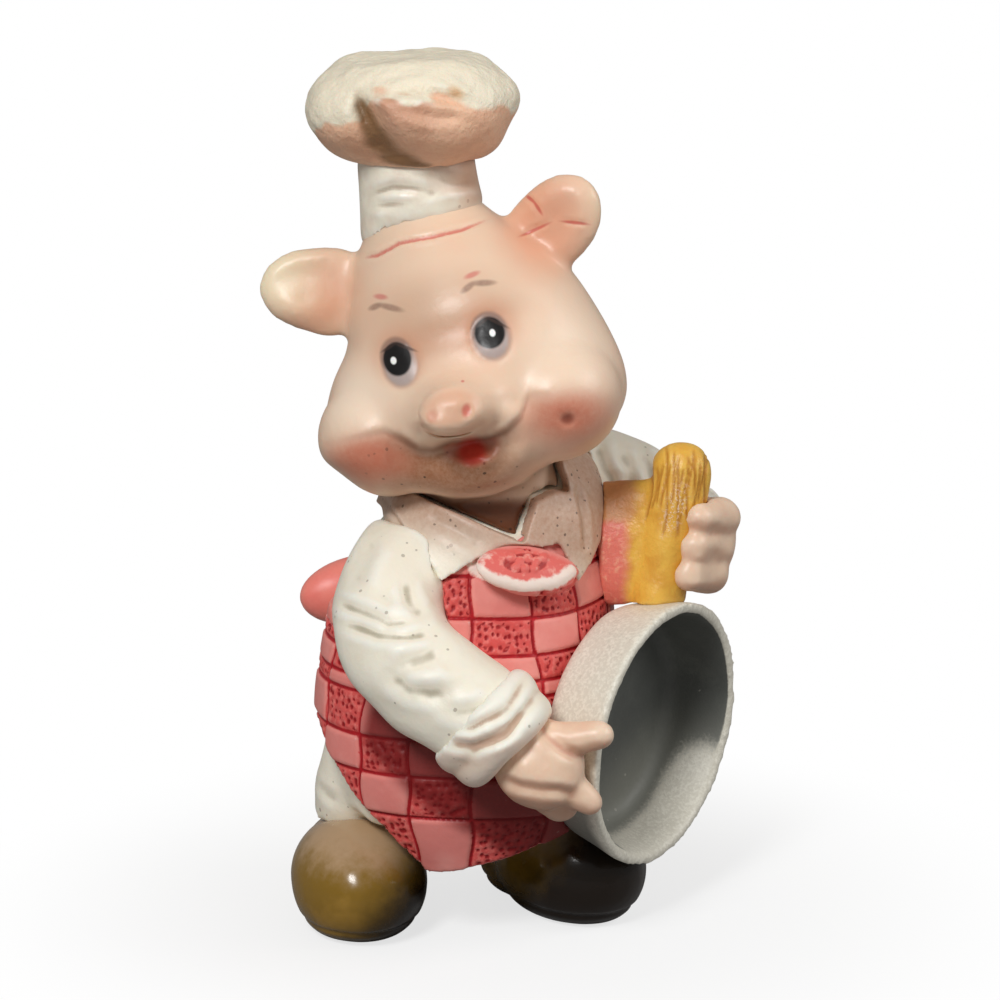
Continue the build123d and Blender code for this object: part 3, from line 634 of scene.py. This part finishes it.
def dab(at, size, tilt=0.0, blur=0.14):
    """A brush mark on the front of the face."""
    way = GAZE.to_3x3() @ Matrix.Rotation(math.radians(-tilt), 3, "Y")
    place = GAZE @ Vector((at[0], 0, at[1]))
    return flesh.spot(place, (size[0], 1000, size[1]), way.to_euler(), blur) * seen


def stroke(start, end, width, blur=0.5):
    """A thin straight brush stroke on the front of the face."""
    run = (end[0] - start[0], end[1] - start[1])
    middle = (start[0] + run[0] / 2, start[1] + run[1] / 2)
    return dab(middle, (math.hypot(*run) / 2 + 0.1, width), math.degrees(math.atan2(run[1], run[0])), blur)


flesh.over(dab((-16.0, 10.2), (4.8, 3.6), 10, 0.6) * 0.8, paint(230, 172, 140))
flesh.over(dab((7.0, 17.0), (4.0, 4.6), 0, 0.6) * 0.8, paint(230, 166, 134))
flesh.over(flesh.spot(GAZE @ Vector((-20.6, 1, 13.0)), (4.0, 9, 4.4), (0, 0, 0), 0.7) * 0.85, paint(246, 230, 198))
flesh.over(flesh.spot(GAZE @ Vector((11.4, 4, 21.0)), (4.4, 9, 3.6), (0, 0, 0), 0.7) * 0.85, paint(244, 224, 182))
# Painted shade between the eyes, under the brows.
flesh.over(dab((-3.6, 8.6), (6.0, 3.0), 12, 0.7) * 0.55, paint(200, 160, 130))
# Painted highlights on the round of each cheek.
flesh.over(dab((-11.4, 0.4), (3.6, 3.2), 0, 0.8) * 0.7, paint(250, 230, 208))
flesh.over(dab((9.6, 4.4), (4.2, 4.4), 0, 0.8) * 0.7, paint(250, 226, 202))
# Painted shade in the hollow across the eyes.
flesh.over(flesh.worn("socket") * 0.8, paint(206, 158, 128))
# Painted shade below the upper lip and under the chin, in brown.
flesh.over(flesh.worn("lip_chin_shade") * (0.65 + dirt * 0.5), paint(158, 104, 70))
# Painted shade on the throat, dark brown.
flesh.over(flesh.worn("throat_shade") * 0.95, paint(104, 58, 30))
flesh.over(flesh.worn("blush") * (0.65 + dirt * 0.35), paint(204, 112, 84))
flesh.over((flesh.specks(1.1) + dirt * 0.4).rise(0.36, 0.3) * flesh.worn("lip_chin_shade") * 0.8, paint(46, 28, 18))
flesh.over((flesh.worn("brim") + dirt * 0.6 - 0.3).rise(0.2, 0.9) * 0.75, paint(216, 116, 104))
# Painted shade under the edge of the upper lip.
flesh.over(flesh.worn("lip") * 0.7, paint(128, 78, 54))
flesh.over(flesh.worn("mouth").rise(0.2, 1.0) * 0.7, paint(196, 116, 92))
flesh.over(dab((0.1, -5.0), (1.35, 1.25), 0, 0.4) * 0.92, paint(208, 54, 38))
flesh.over(dab((-1.75, -0.95), (2.7, 1.7), 11, 0.3) * 0.6, paint(222, 166, 134))
flesh.over(dab((-3.6, -1.8), (0.5, 0.65), -10, 0.5) * 0.6, paint(212, 140, 112))
flesh.over(dab((-0.4, -1.2), (0.4, 0.6), -10, 0.5) * 0.8, paint(212, 108, 94))
flesh.over(dab((-0.76, 1.63), (0.16, 0.12), 0, 0.5) * 0.8, paint(210, 110, 100))
flesh.over(dab((9.2, -1.9), (0.6, 0.5), 0, 0.6) * 0.8, paint(140, 70, 52))
for line in (((5.3, 20.1), (6.1, 19.3)), ((6.1, 19.3), (6.8, 18.2)), ((4.9, 16.1), (7.4, 17.2)), ((8.9, 17.4), (11.2, 17.1))):
    flesh.over(stroke(*line, 0.16) * 0.75, paint(202, 84, 74))
for line in (((-9.8, 8.9), (-8.8, 9.2)), ((-8.8, 9.2), (-6.7, 8.6)), ((-0.8, 10.3), (0.2, 11.1)), ((0.2, 11.1), (2.2, 11.2))):
    flesh.over(stroke(*line, 0.3) * (0.45 + dirt * 0.5), paint(150, 116, 100))
for line in (((-9.3, 10.1), (-8.2, 9.9)), ((-0.5, 11.7), (0.7, 12.2))):
    flesh.over(stroke(*line, 0.26) * 0.7, paint(212, 116, 108))
for (at, size), iris, reach, star in zip(EYES, ((-7.08, 3.89), (1.79, 6.33)), ((1.28, 1.56), (1.37, 1.46)), ((-7.44, 3.75), (2.05, 6.32))):
    flesh.over(dab((at[0] - 0.2, at[1] + 0.9), (size[0] * 1.5, size[1] * 1.25), 12.8, 0.45) * 0.5, paint(220, 160, 130))
    flesh.over(dab(at, (size[0] * 1.12, size[1] * 1.08), 12.8, 0.2) * 0.55, paint(158, 122, 108))
    flesh.over(dab(at, size, 12.8, 0.2) * 0.85, paint(188, 166, 156))
    flesh.over(dab((iris[0] - 0.1, iris[1] + 0.3), (reach[0] * 1.25, reach[1] * 1.2), 12.8, 0.12) * 0.6, paint(120, 96, 88))
    flesh.over(dab(at, (size[0] * 0.95, size[1] * 0.97), 12.8, 0.12) * dab((at[0], at[1] - 0.7), (size[0], size[1] * 0.9), 12.8, 0.3) * 0.8, paint(184, 170, 166))
    flesh.over(dab(iris, (reach[0] * 1.06, reach[1] * 1.06), 12.8, 0.1), paint(10, 7, 7))
    flesh.over(dab(star, (0.28, 0.36), 12.8, 0.3), paint(255, 255, 252))
for line in (((-8.5, 4.7), (-7.3, 5.4)), ((-7.3, 5.4), (-5.4, 4.7)), ((0.5, 6.9), (1.6, 7.75)), ((1.6, 7.75), (3.4, 6.9))):
    flesh.over(stroke(*line, 0.16) * (0.5 + dirt * 0.5), paint(62, 44, 38))
flesh.lay(head, shine)
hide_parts("head", "right_ear", "left_ear")
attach(head, "root")

# The hat: a wrinkled band round the top of the head with a puffed crown that rolls over it in one deep fold.
# The white has worn rough on top, and the underside keeps a peach wash. The band under the crown, the lobe and the deep
# fold are painted with peach and brown shade.
band = cast("ivory_hat_band", ["hat_band"], 0.26, 8)
clay = Clay(band, GAZE)
clay.lumps(4.0, 0.2, 7.0)
x, z = clay.points[:, 0], clay.points[:, 2]
round_axis = (clay.points - (clay.points.max(0) + clay.points.min(0)) / 2) * (1, 1, 0)
round_axis /= np.linalg.norm(round_axis, axis=1)[:, None]
low = soft(3.4, 0.3, z - np.interp(x, *np.transpose(BRIM))) * soft(0.6, 0.0, round_axis[:, 1])
clay.push(-2.4 * low, (0, 0, 1))
clay.points = clay.points - round_axis * (1.3 * soft(0.2, 0.75, low))[:, None]
front = clay.front()
for path, wide, deep in (
    (((-10.2, 19.8), (-7.6, 20.6), (-5.2, 20.3), (-2.6, 19.9)), 0.45, 0.3), (((-9.8, 19.1), (-6.8, 19.0), (-3.4, 19.4)), 0.4, 0.26),
    (((-8.0, 17.9), (-4.9, 18.1), (-2.0, 18.9), (1.6, 19.7)), 0.45, 0.34), (((-6.4, 17.0), (-3.0, 17.5), (1.6, 18.4)), 0.4, 0.3),
    (((-9.6, 17.0), (-7.4, 16.8), (-5.6, 16.2)), 0.5, 0.2), (((-3.6, 21.4), (-1.4, 20.8), (1.2, 21.6)), 0.6, 0.2),
):
    clay.crease(path, wide, deep, 0.2, front)
clay.ease(5)
clay.ease(25, 1 - soft(0.0, 0.3, low))
clay.mark("low", low)
# Painted shade on the upper right of the band, under the crown.
clay.mark("peach", soft(-3.5, 1.0, x + 0.6 * (z - 20)) * soft(17.2, 21.5, z))
clay.done()
cloth, shine = ivory("band_ivory")
cloth.over(cloth.grain(3.0).rise(0.35, 0.7) * 0.5, paint(226, 202, 182))
# Painted shade under the crown.
cloth.over(cloth.worn("peach") * 0.75, paint(196, 152, 122))
cloth.over((cloth.worn("relief") * -1).rise(0.02, 0.12) * 0.4, paint(206, 170, 158))
cloth.over(cloth.worn("low").rise(0.05, 0.4), paint(238, 222, 204))
cloth.lay(band, shine * 0.8)
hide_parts("hat_band")
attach(band, "root")

crown = cast("ivory_hat_crown", ["hat_crown"], 0.4, 10, 1)
clay = Clay(crown, GAZE)
clay.lumps(7.0, 0.5, 7.0)
z = clay.points[:, 2]
clay.push(0.9 * np.exp(-(((z - 25.4) / 1.9) ** 2)))
clay.push(-0.7 * soft(24.0, 22.4, z), (0, 0, 1))
front = clay.front()
x, z = clay.points[:, 0], clay.points[:, 2]
FOLD = ((-10.2, 29.0), (-9.6, 27.9), (-8.4, 26.0), (-6.9, 24.2), (-4.9, 23.0), (-2.0, 22.2), (1.0, 21.8))
gap, share = clay.along(FOLD, True)
right = x - np.interp(z, [p[1] for p in FOLD[::-1]], [p[0] for p in FOLD[::-1]])
shaded_lobe = soft(-0.3, 1.4, right) * soft(8.5, 2.5, right) * soft(30.4, 27.6, z) * front
clay.push(1.6 * shaded_lobe * soft(21.4, 24.5, z), (0, -1, 0))
wide = np.interp(z, (22.5, 28.5), (2.4, 0.7))
shaded_ditch = np.exp(-(((right + 0.8 * wide) / wide) ** 2)) * soft(30.0, 27.8, z) * front
clay.push(1.5 * shaded_ditch * soft(22.6, 24.6, z), (0, 1, 0))
clay.crease(((-10.2, 29.0), (-7.8, 28.9), (-5.4, 29.4), (-3.0, 28.8), (0.5, 28.0)), 0.5, 0.3, 0.2, front)
clay.crease(((-6.0, 27.2), (-3.5, 26.6), (-1.0, 26.9)), 0.5, 0.3, 0.15, front)
worn_line = np.interp(x, (-15, -10.6, -9.6, -3, 6), (25.8, 26.2, 28.8, 28.6, 28.0))
worn = soft(-1.2, 1.2, z - worn_line + 1.4 * np.array([noise.noise(Vector(p) / 1.8 + Vector((3, 1, 0))) for p in clay.points]))
rough = np.array([noise.noise(Vector(p) / 2.1) + 0.5 * noise.noise(Vector(p) / 0.9) for p in clay.points])
clay.push(0.16 * rough * worn + 0.14 * worn * front)
clay.ease(2)
clay.mark("worn", worn)
# Painted shadow in the deep fold, and painted shade on the lobe below it.
clay.mark("shaded_ditch", shaded_ditch)
clay.mark("shaded_lobe", shaded_lobe * soft(24.0, 27.0, z))
clay.done()
cloth = Finish("crown_ivory", 0.42, 0.14)
wash, fine, relief = cloth.grain(4.0, 5.0), cloth.grain(0.8, 4.0), cloth.worn("relief")
cloth.over(None, paint(244, 197, 164))
cloth.over(wash.rise(0.4, 0.7) * 0.6, paint(222, 168, 136))
# Painted shade on the lobe.
cloth.over(cloth.worn("shaded_lobe") * 0.55, paint(186, 130, 104))
cloth.over((cloth.worn("worn") + wash * 0.6 - 0.3).rise(0.25, 0.75), paint(243, 232, 208))
cloth.over((relief * -1 + fine * 0.02).rise(0.02, 0.08) * cloth.worn("worn") * 0.6, paint(214, 196, 168))
cloth.over(relief.rise(0.02, 0.08) * cloth.worn("worn") * 0.8, paint(252, 249, 236))
# Painted shadow in the deep fold, dark brown.
cloth.over((cloth.worn("shaded_ditch") + wash * 0.5 - 0.25).rise(0.2, 0.95) * 0.92, paint(126, 90, 52))
cloth.over(cloth.spot(GAZE @ Vector((-2.5, -9, 29.9)), (0.9, 5, 0.6), (0, 0.5, 0), 0.6) * 0.8, paint(214, 158, 96))
cloth.dent(fine, 0.05)
cloth.dent(cloth.grain(1.4, 5.0, 0.6), 0.35)
cloth.lay(crown, 0.36 + wash * 0.2)
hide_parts("hat_crown")
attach(crown, "root")

# The sleeves and their turned cuffs: full shirt sleeves, creased at the elbow, each ending in two soft rolls.
FOLDS = {
    "right_sleeve": (
        (((-13.0, -19.5), (-10.4, -20.4), (-8.0, -21.2), (-4.7, -21.0)), 0.45, 0.5),
        (((-12.4, -21.2), (-8.9, -22.3), (-5.8, -22.5), (-3.8, -22.2)), 0.5, 0.55),
        (((-7.0, -26.0), (-5.2, -24.9), (-3.0, -23.9)), 0.75, 0.4),
        (((-7.6, -26.3), (-6.1, -27.5), (-3.9, -27.9), (-0.6, -27.7)), 0.6, 0.35),
        (((4.9, -27.2), (3.9, -29.2), (2.6, -30.2)), 0.5, 0.35),
        (((-3.4, -28.8), (-1.0, -29.6), (1.6, -29.4)), 0.6, 0.25),
        (((-9.4, -13.2), (-10.6, -15.4), (-11.4, -17.8)), 0.8, 0.3),
        (((-6.4, -17.4), (-5.8, -19.4), (-4.6, -20.6)), 0.5, 0.3),
    ),
    "left_sleeve": (
        (((12.4, -4.0), (13.4, -6.4), (14.8, -8.8)), 0.6, 0.3),
        (((14.8, -4.8), (15.8, -6.4), (16.2, -8.8)), 0.5, 0.25),
        (((16.8, -5.0), (17.8, -6.2), (18.4, -8.0)), 0.6, 0.2),
    ),
    "right_cuff": (
        (((-2.9, -30.9), (0.0, -31.2), (3.4, -29.5), (5.2, -26.5)), 0.35, 0.3),
        (((-2.6, -32.6), (0.4, -33.0), (3.2, -31.6), (5.6, -29.0)), 0.4, 0.35),
        (((1.5, -32.9), (3.6, -31.9), (4.6, -30.0)), 0.3, 0.3),
    ),
    "left_cuff": (),
}
for node, slot in (("right_sleeve", "shirt_cloth"), ("left_sleeve", "shirt_cloth"), ("right_cuff", "cuff_cloth"), ("left_cuff", "cuff_cloth")):
    sleeve = cast("ivory_" + node, [node], 0.26, 8)
    clay = Clay(sleeve, GAZE)
    if node == "right_sleeve":
        clay.swell((-8.1, -2, -8.8), (2.4, 20, 2.6), 1.7, (0.1, 0, -1))
        clay.ease(30, 1 - clay.near((-8.1, -2, -11.2), (2.4, 20, 1.8)))
    if slot == "cuff_cloth":
        clay.push(np.full(len(clay.points), 0.2))
    clay.lumps(4.5, 0.3, 8.0)
    front = clay.front()
    for path, wide, deep in FOLDS[node]:
        clay.crease(path, wide * 1.2, deep, 0.2, front)
    clay.ease(6)
    # Where the skin faces down; the cuffs are painted with shade there.
    clay.mark("low", soft(0.3, -0.7, clay.outward()[:, 2]))
    clay.done(12)
    cloth, shine = ivory(node + "_ivory")
    if slot == "cuff_cloth":
        cloth.over((cloth.worn("relief") * -1 + cloth.grain(2.0) * 0.1).rise(0.03, 0.15) * 0.7, paint(206, 164, 138))
        # Painted shade on the underside of each cuff.
        cloth.over((cloth.worn("low") + cloth.grain(2.0) * 0.4 - 0.2).rise(0.1, 0.9) * 0.5, paint(226, 190, 168))
    else:
        cloth.over((cloth.worn("relief") * -1).rise(0.16, 0.4) * 0.7, paint(168, 124, 96))
    cloth.lay(sleeve, shine)
    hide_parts(node)
    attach(sleeve, "root")

# The hands: the right one on the rim of the pan, the left one closed round the handle.
KNUCKLES = {
    "right_hand": (
        (((6.4, -30.6), (7.2, -32.0), (8.6, -33.3), (10.6, -34.3)), 0.45, 0.3),
        (((3.0, -36.2), (4.6, -36.9), (6.6, -37.2), (8.4, -37.3), (10.0, -37.8)), 0.45, 0.35),
        (((4.6, -33.2), (6.0, -34.0), (7.0, -35.2)), 0.8, 0.15),
    ),
    "left_hand": (
        (((21.0, -12.4), (22.6, -12.2), (24.6, -12.6)), 0.5, 0.16),
        (((20.8, -14.8), (22.6, -14.7), (24.6, -15.0)), 0.5, 0.16),
        (((20.6, -17.0), (22.4, -17.0), (24.2, -17.2)), 0.5, 0.16),
    ),
}
for node in ("right_hand", "left_hand"):
    hand = cast("pink_" + node, [node], 0.24, 8)
    clay = Clay(hand, GAZE)
    clay.lumps(2.5, 0.16, 4.0)
    front = clay.front()
    for path, wide, deep in KNUCKLES[node]:
        clay.crease(path, wide, deep, deep * 0.4, front)
    clay.ease(14 if node == "left_hand" else 6)
    # Where the skin faces down, for the painted shade.
    clay.mark("low", soft(0.2, -0.8, clay.outward()[:, 2]))
    clay.done(10)
    flesh, shine = skin(node + "_pink")
    flesh.over(flesh.grain(3.0, 4.0).rise(0.4, 0.7) * 0.5, paint(226, 186, 160))
    # Painted shade on the underside of each hand.
    flesh.over((flesh.worn("low") + flesh.grain(2.0) * 0.4 - 0.2).rise(0.2, 1.0) * 0.6, paint(190, 136, 106))
    flesh.lay(hand, shine)
    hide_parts(node)
    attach(hand, "root")

# The pan: a round pan of cast resin, in sparkling silver paint outside and on the rim, and dark grey inside. The lower
# outer wall is painted dark as shade, and the inside is painted lighter towards its lower side as light.
PAN = Matrix((
    (0.232, -0.767, 0.599, 12.064), (0.079, -0.598, -0.797, -11.011), (0.969, 0.233, -0.078, 20.404), (0, 0, 0, 1),
))
pan = cast("silver_pan", ["pan"], 0.34, 12, 1)
clay = Clay(pan, PAN)
clay.lumps(3.0, 0.08, 9.0)
radius = np.linalg.norm(clay.points[:, :2], axis=1)
turned_in = (clay.normals[:, :2] * clay.points[:, :2]).sum(1) / np.maximum(radius, 0.1)
floor = soft(0.5, 0.8, clay.normals[:, 2]) * soft(-1.2, -3.0, clay.points[:, 2])
within = np.maximum(soft(0.1, -0.35, turned_in) * soft(9.0, 10.0, radius), floor) * soft(-0.2, -0.8, clay.points[:, 2])
# Painted light: the inner wall on the lower side is left silver, as if lit.
lit_low_side = soft(0.3, 0.95, (clay.points[:, :2] @ np.array((-0.83, -0.55))) / np.maximum(radius, 0.1)) * soft(9.8, 12.0, radius)
clay.mark("inside", within * (1 - 0.9 * lit_low_side))
# Painted light: the inside grows lighter towards its lower side.
clay.mark("lit_lower_side", soft(2.0, 12.0, clay.points[:, :2] @ np.array((-0.83, -0.55))))
# Painted shade on the lower outer wall.
clay.mark("back", soft(-0.6, -2.5, clay.points[:, 2]) * soft(-0.1, -0.8, clay.points[:, 0] / 13.5) * soft(0.0, 0.4, turned_in))
clay.done()
silver = Finish("silver_paint", 0.35)
fine = silver.grain(0.35, 3.0, 0.6)
cloudy = silver.grain(3.0, 4.0)
silver.over(None, paint(220, 215, 200))
silver.over(fine.rise(0.42, 0.66), paint(236, 232, 218))
silver.over((fine * 0.6 + cloudy * 0.4).rise(0.42, 0.3) * 0.5, paint(188, 184, 170))
# Painted shade on the lower outer wall.
silver.over(silver.worn("back") * 0.8, paint(92, 92, 88))
inside = (silver.worn("inside") + fine * 0.3 - 0.15).rise(0.35, 0.65)
silver.over(inside, paint(84, 86, 82))
silver.over(inside * cloudy.rise(0.45, 0.75) * 0.5, paint(100, 102, 96))
# Painted light on the lower side of the inside.
silver.over(inside * silver.worn("lit_lower_side") * 0.8, paint(150, 150, 140))
silver.over(inside * (silver.specks(2.2) + fine * 0.3).rise(0.24, 0.2) * 0.7, paint(170, 168, 156))
silver.dent(fine * (1 - inside * 0.75), 0.06)
silver.lay(pan, 0.3 + fine * 0.25 + inside * 0.1)
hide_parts("pan")
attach(pan, "root")

# The handle: a turned wooden handle in ochre paint with its grain scratched in, and the web of resin
# that holds it to the bib, where the ochre fades into the red of the apron.
handle = cast("ochre_handle", ["pan_handle"], 0.24, 8)
clay = Clay(handle, GAZE)
clay.lumps(3.0, 0.25, 10.0)
x, z = clay.points[:, 0], clay.points[:, 2]
scratch = np.zeros(len(clay.points))
draw = np.random.default_rng(5)
for start in np.arange(17.6, 23.4, 0.42):
    top, length, wave = draw.uniform(-7.5, -4.6), draw.uniform(3.0, 6.5), draw.uniform(0, 6)
    line = np.abs(x - start - 0.15 * np.sin(z * 0.9 + wave) - 0.1 * (z + 8))
    scratch = np.maximum(scratch, np.exp(-((line / 0.13) ** 2)) * soft(top + 0.6, top - 0.4, z) * soft(top - length - 1, top - length, z))
clay.push(-0.16 * scratch)
clay.mark("scratch", scratch)
clay.mark("web", soft(17.0, 13.6, x))
clay.mark("tan", soft(17.6, 14.6, x) * soft(-13.0, -10.5, z))
clay.done()
ochre = Finish("ochre_paint", 0.36, 0.12)
fine, cloudy, relief = ochre.grain(0.6, 4.0), ochre.grain(2.4, 5.0), ochre.worn("relief")
ochre.over(None, paint(236, 186, 76))
ochre.over(cloudy.rise(0.42, 0.68) * 0.7, paint(216, 154, 52))
ochre.over(ochre.worn("scratch") * 0.7, paint(168, 98, 26))
ochre.over((relief + fine * 0.03).rise(0.03, 0.12) * 0.6, paint(240, 200, 104))
web = (ochre.worn("web") + cloudy * 0.5 - 0.25).rise(0.2, 0.8)
ochre.over(web, paint(226, 120, 104))
ochre.over(web * fine.rise(0.5, 0.68) * 0.6, paint(240, 172, 140))
ochre.over((ochre.worn("tan") + cloudy * 0.3 - 0.15).rise(0.2, 0.8) * 0.9, paint(208, 148, 92))
chipped = ochre.spot(GAZE @ Vector((19.9, 0, -10.4)), (0.9, 1000, 2.2), Euler((math.radians(-14), 0.35, math.radians(-20))), 0.7)
ochre.over(chipped * ochre.grain(0.3, 3.0, 0.7).rise(0.5, 0.62) * 0.75, paint(246, 226, 204))
ochre.dent(fine, 0.12)
ochre.lay(handle, 0.3 + fine * 0.2)
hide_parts("pan_handle")
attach(handle, "root")

# The photographer's table: a plain white sweep that keeps the figure's soft shadow.
bpy.ops.object.select_all(action="DESELECT")
bpy.ops.mesh.primitive_plane_add(size=6, location=(0, 0, 0))
table = bpy.context.object
table.name = "table"
sweep = Finish("white_table", 0.9)
camera_ray = sweep.node("LightPath", {}, {}, "Is Camera Ray")
across = sweep.node("VectorMath", {"operation": "LENGTH"}, {0: sweep.place}, "Value")
sweep.over(None, (0.3, 0.3, 0.3, 1))
sweep.over(camera_ray, (0.95, 0.95, 0.95, 1))
sweep.lay(table)
white = sweep.node("Emission", {}, {"Color": (1, 1, 1, 1), "Strength": 1.0})
seen = camera_ray * (0.72 + across.rise(0.02, 0.06) * 0.28)
closing = sweep.node("MixShader", {}, {0: seen, 1: Tone(sweep, sweep.shader.outputs[0]), 2: white})
sweep.tree.links.new(closing.socket, sweep.tree.nodes["Material Output"].inputs["Surface"])

# The light: one large soft lamp high on the left, a weak fill from the right, and a pale room.
for name, place, aim, size, power in (
    ("key_lamp", (-0.36, -0.4, 0.5), (0, 0, 0.05), 0.2, 3.2),
    ("fill_lamp", (0.5, -0.3, 0.42), (0, 0, 0.05), 0.35, 1.5),
):
    lamp = bpy.data.lights.new(name, "AREA")
    lamp.shape = "DISK"
    lamp.size = size
    lamp.energy = power
    holder = bpy.data.objects.new(name, lamp)
    bpy.context.scene.collection.objects.link(holder)
    holder.location = place
    holder.rotation_euler = (Vector(aim) - Vector(place)).to_track_quat("-Z", "Y").to_euler()
room = bpy.data.worlds.new("pale_room")
bpy.context.scene.world = room
room.use_nodes = True
nodes, links = room.node_tree.nodes, room.node_tree.links
back = nodes["Background"]
back.inputs["Color"].default_value = (1.0, 0.98, 0.95, 1)
back.inputs["Strength"].default_value = 0.24
bright = nodes.new("ShaderNodeBackground")
bright.inputs["Color"].default_value = (1, 1, 1, 1)
path = nodes.new("ShaderNodeLightPath")
swap = nodes.new("ShaderNodeMixShader")
links.new(path.outputs["Is Camera Ray"], swap.inputs[0])
links.new(back.outputs[0], swap.inputs[1])
links.new(bright.outputs[0], swap.inputs[2])
links.new(swap.outputs[0], nodes["World Output"].inputs["Surface"])

# The camera: a long lens, from the figure's front right and a little above.
AIM = Vector((0.00242, 0.01113, 0.040))
LOOK = (math.radians(-20), math.radians(14))
lens = bpy.data.cameras.new("camera")
lens.lens = 141.4
lens.sensor_width = 36
lens.clip_start = 0.01
camera = bpy.data.objects.new("camera", lens)
bpy.context.scene.collection.objects.link(camera)
back_way = Vector((
    math.sin(LOOK[0]) * math.cos(LOOK[1]), -math.cos(LOOK[0]) * math.cos(LOOK[1]), math.sin(LOOK[1])
))
camera.location = AIM + back_way * 0.4
camera.rotation_euler = (-back_way).to_track_quat("-Z", "Y").to_euler()
bpy.context.scene.camera = camera
bpy.context.scene.view_settings.view_transform = "Standard"
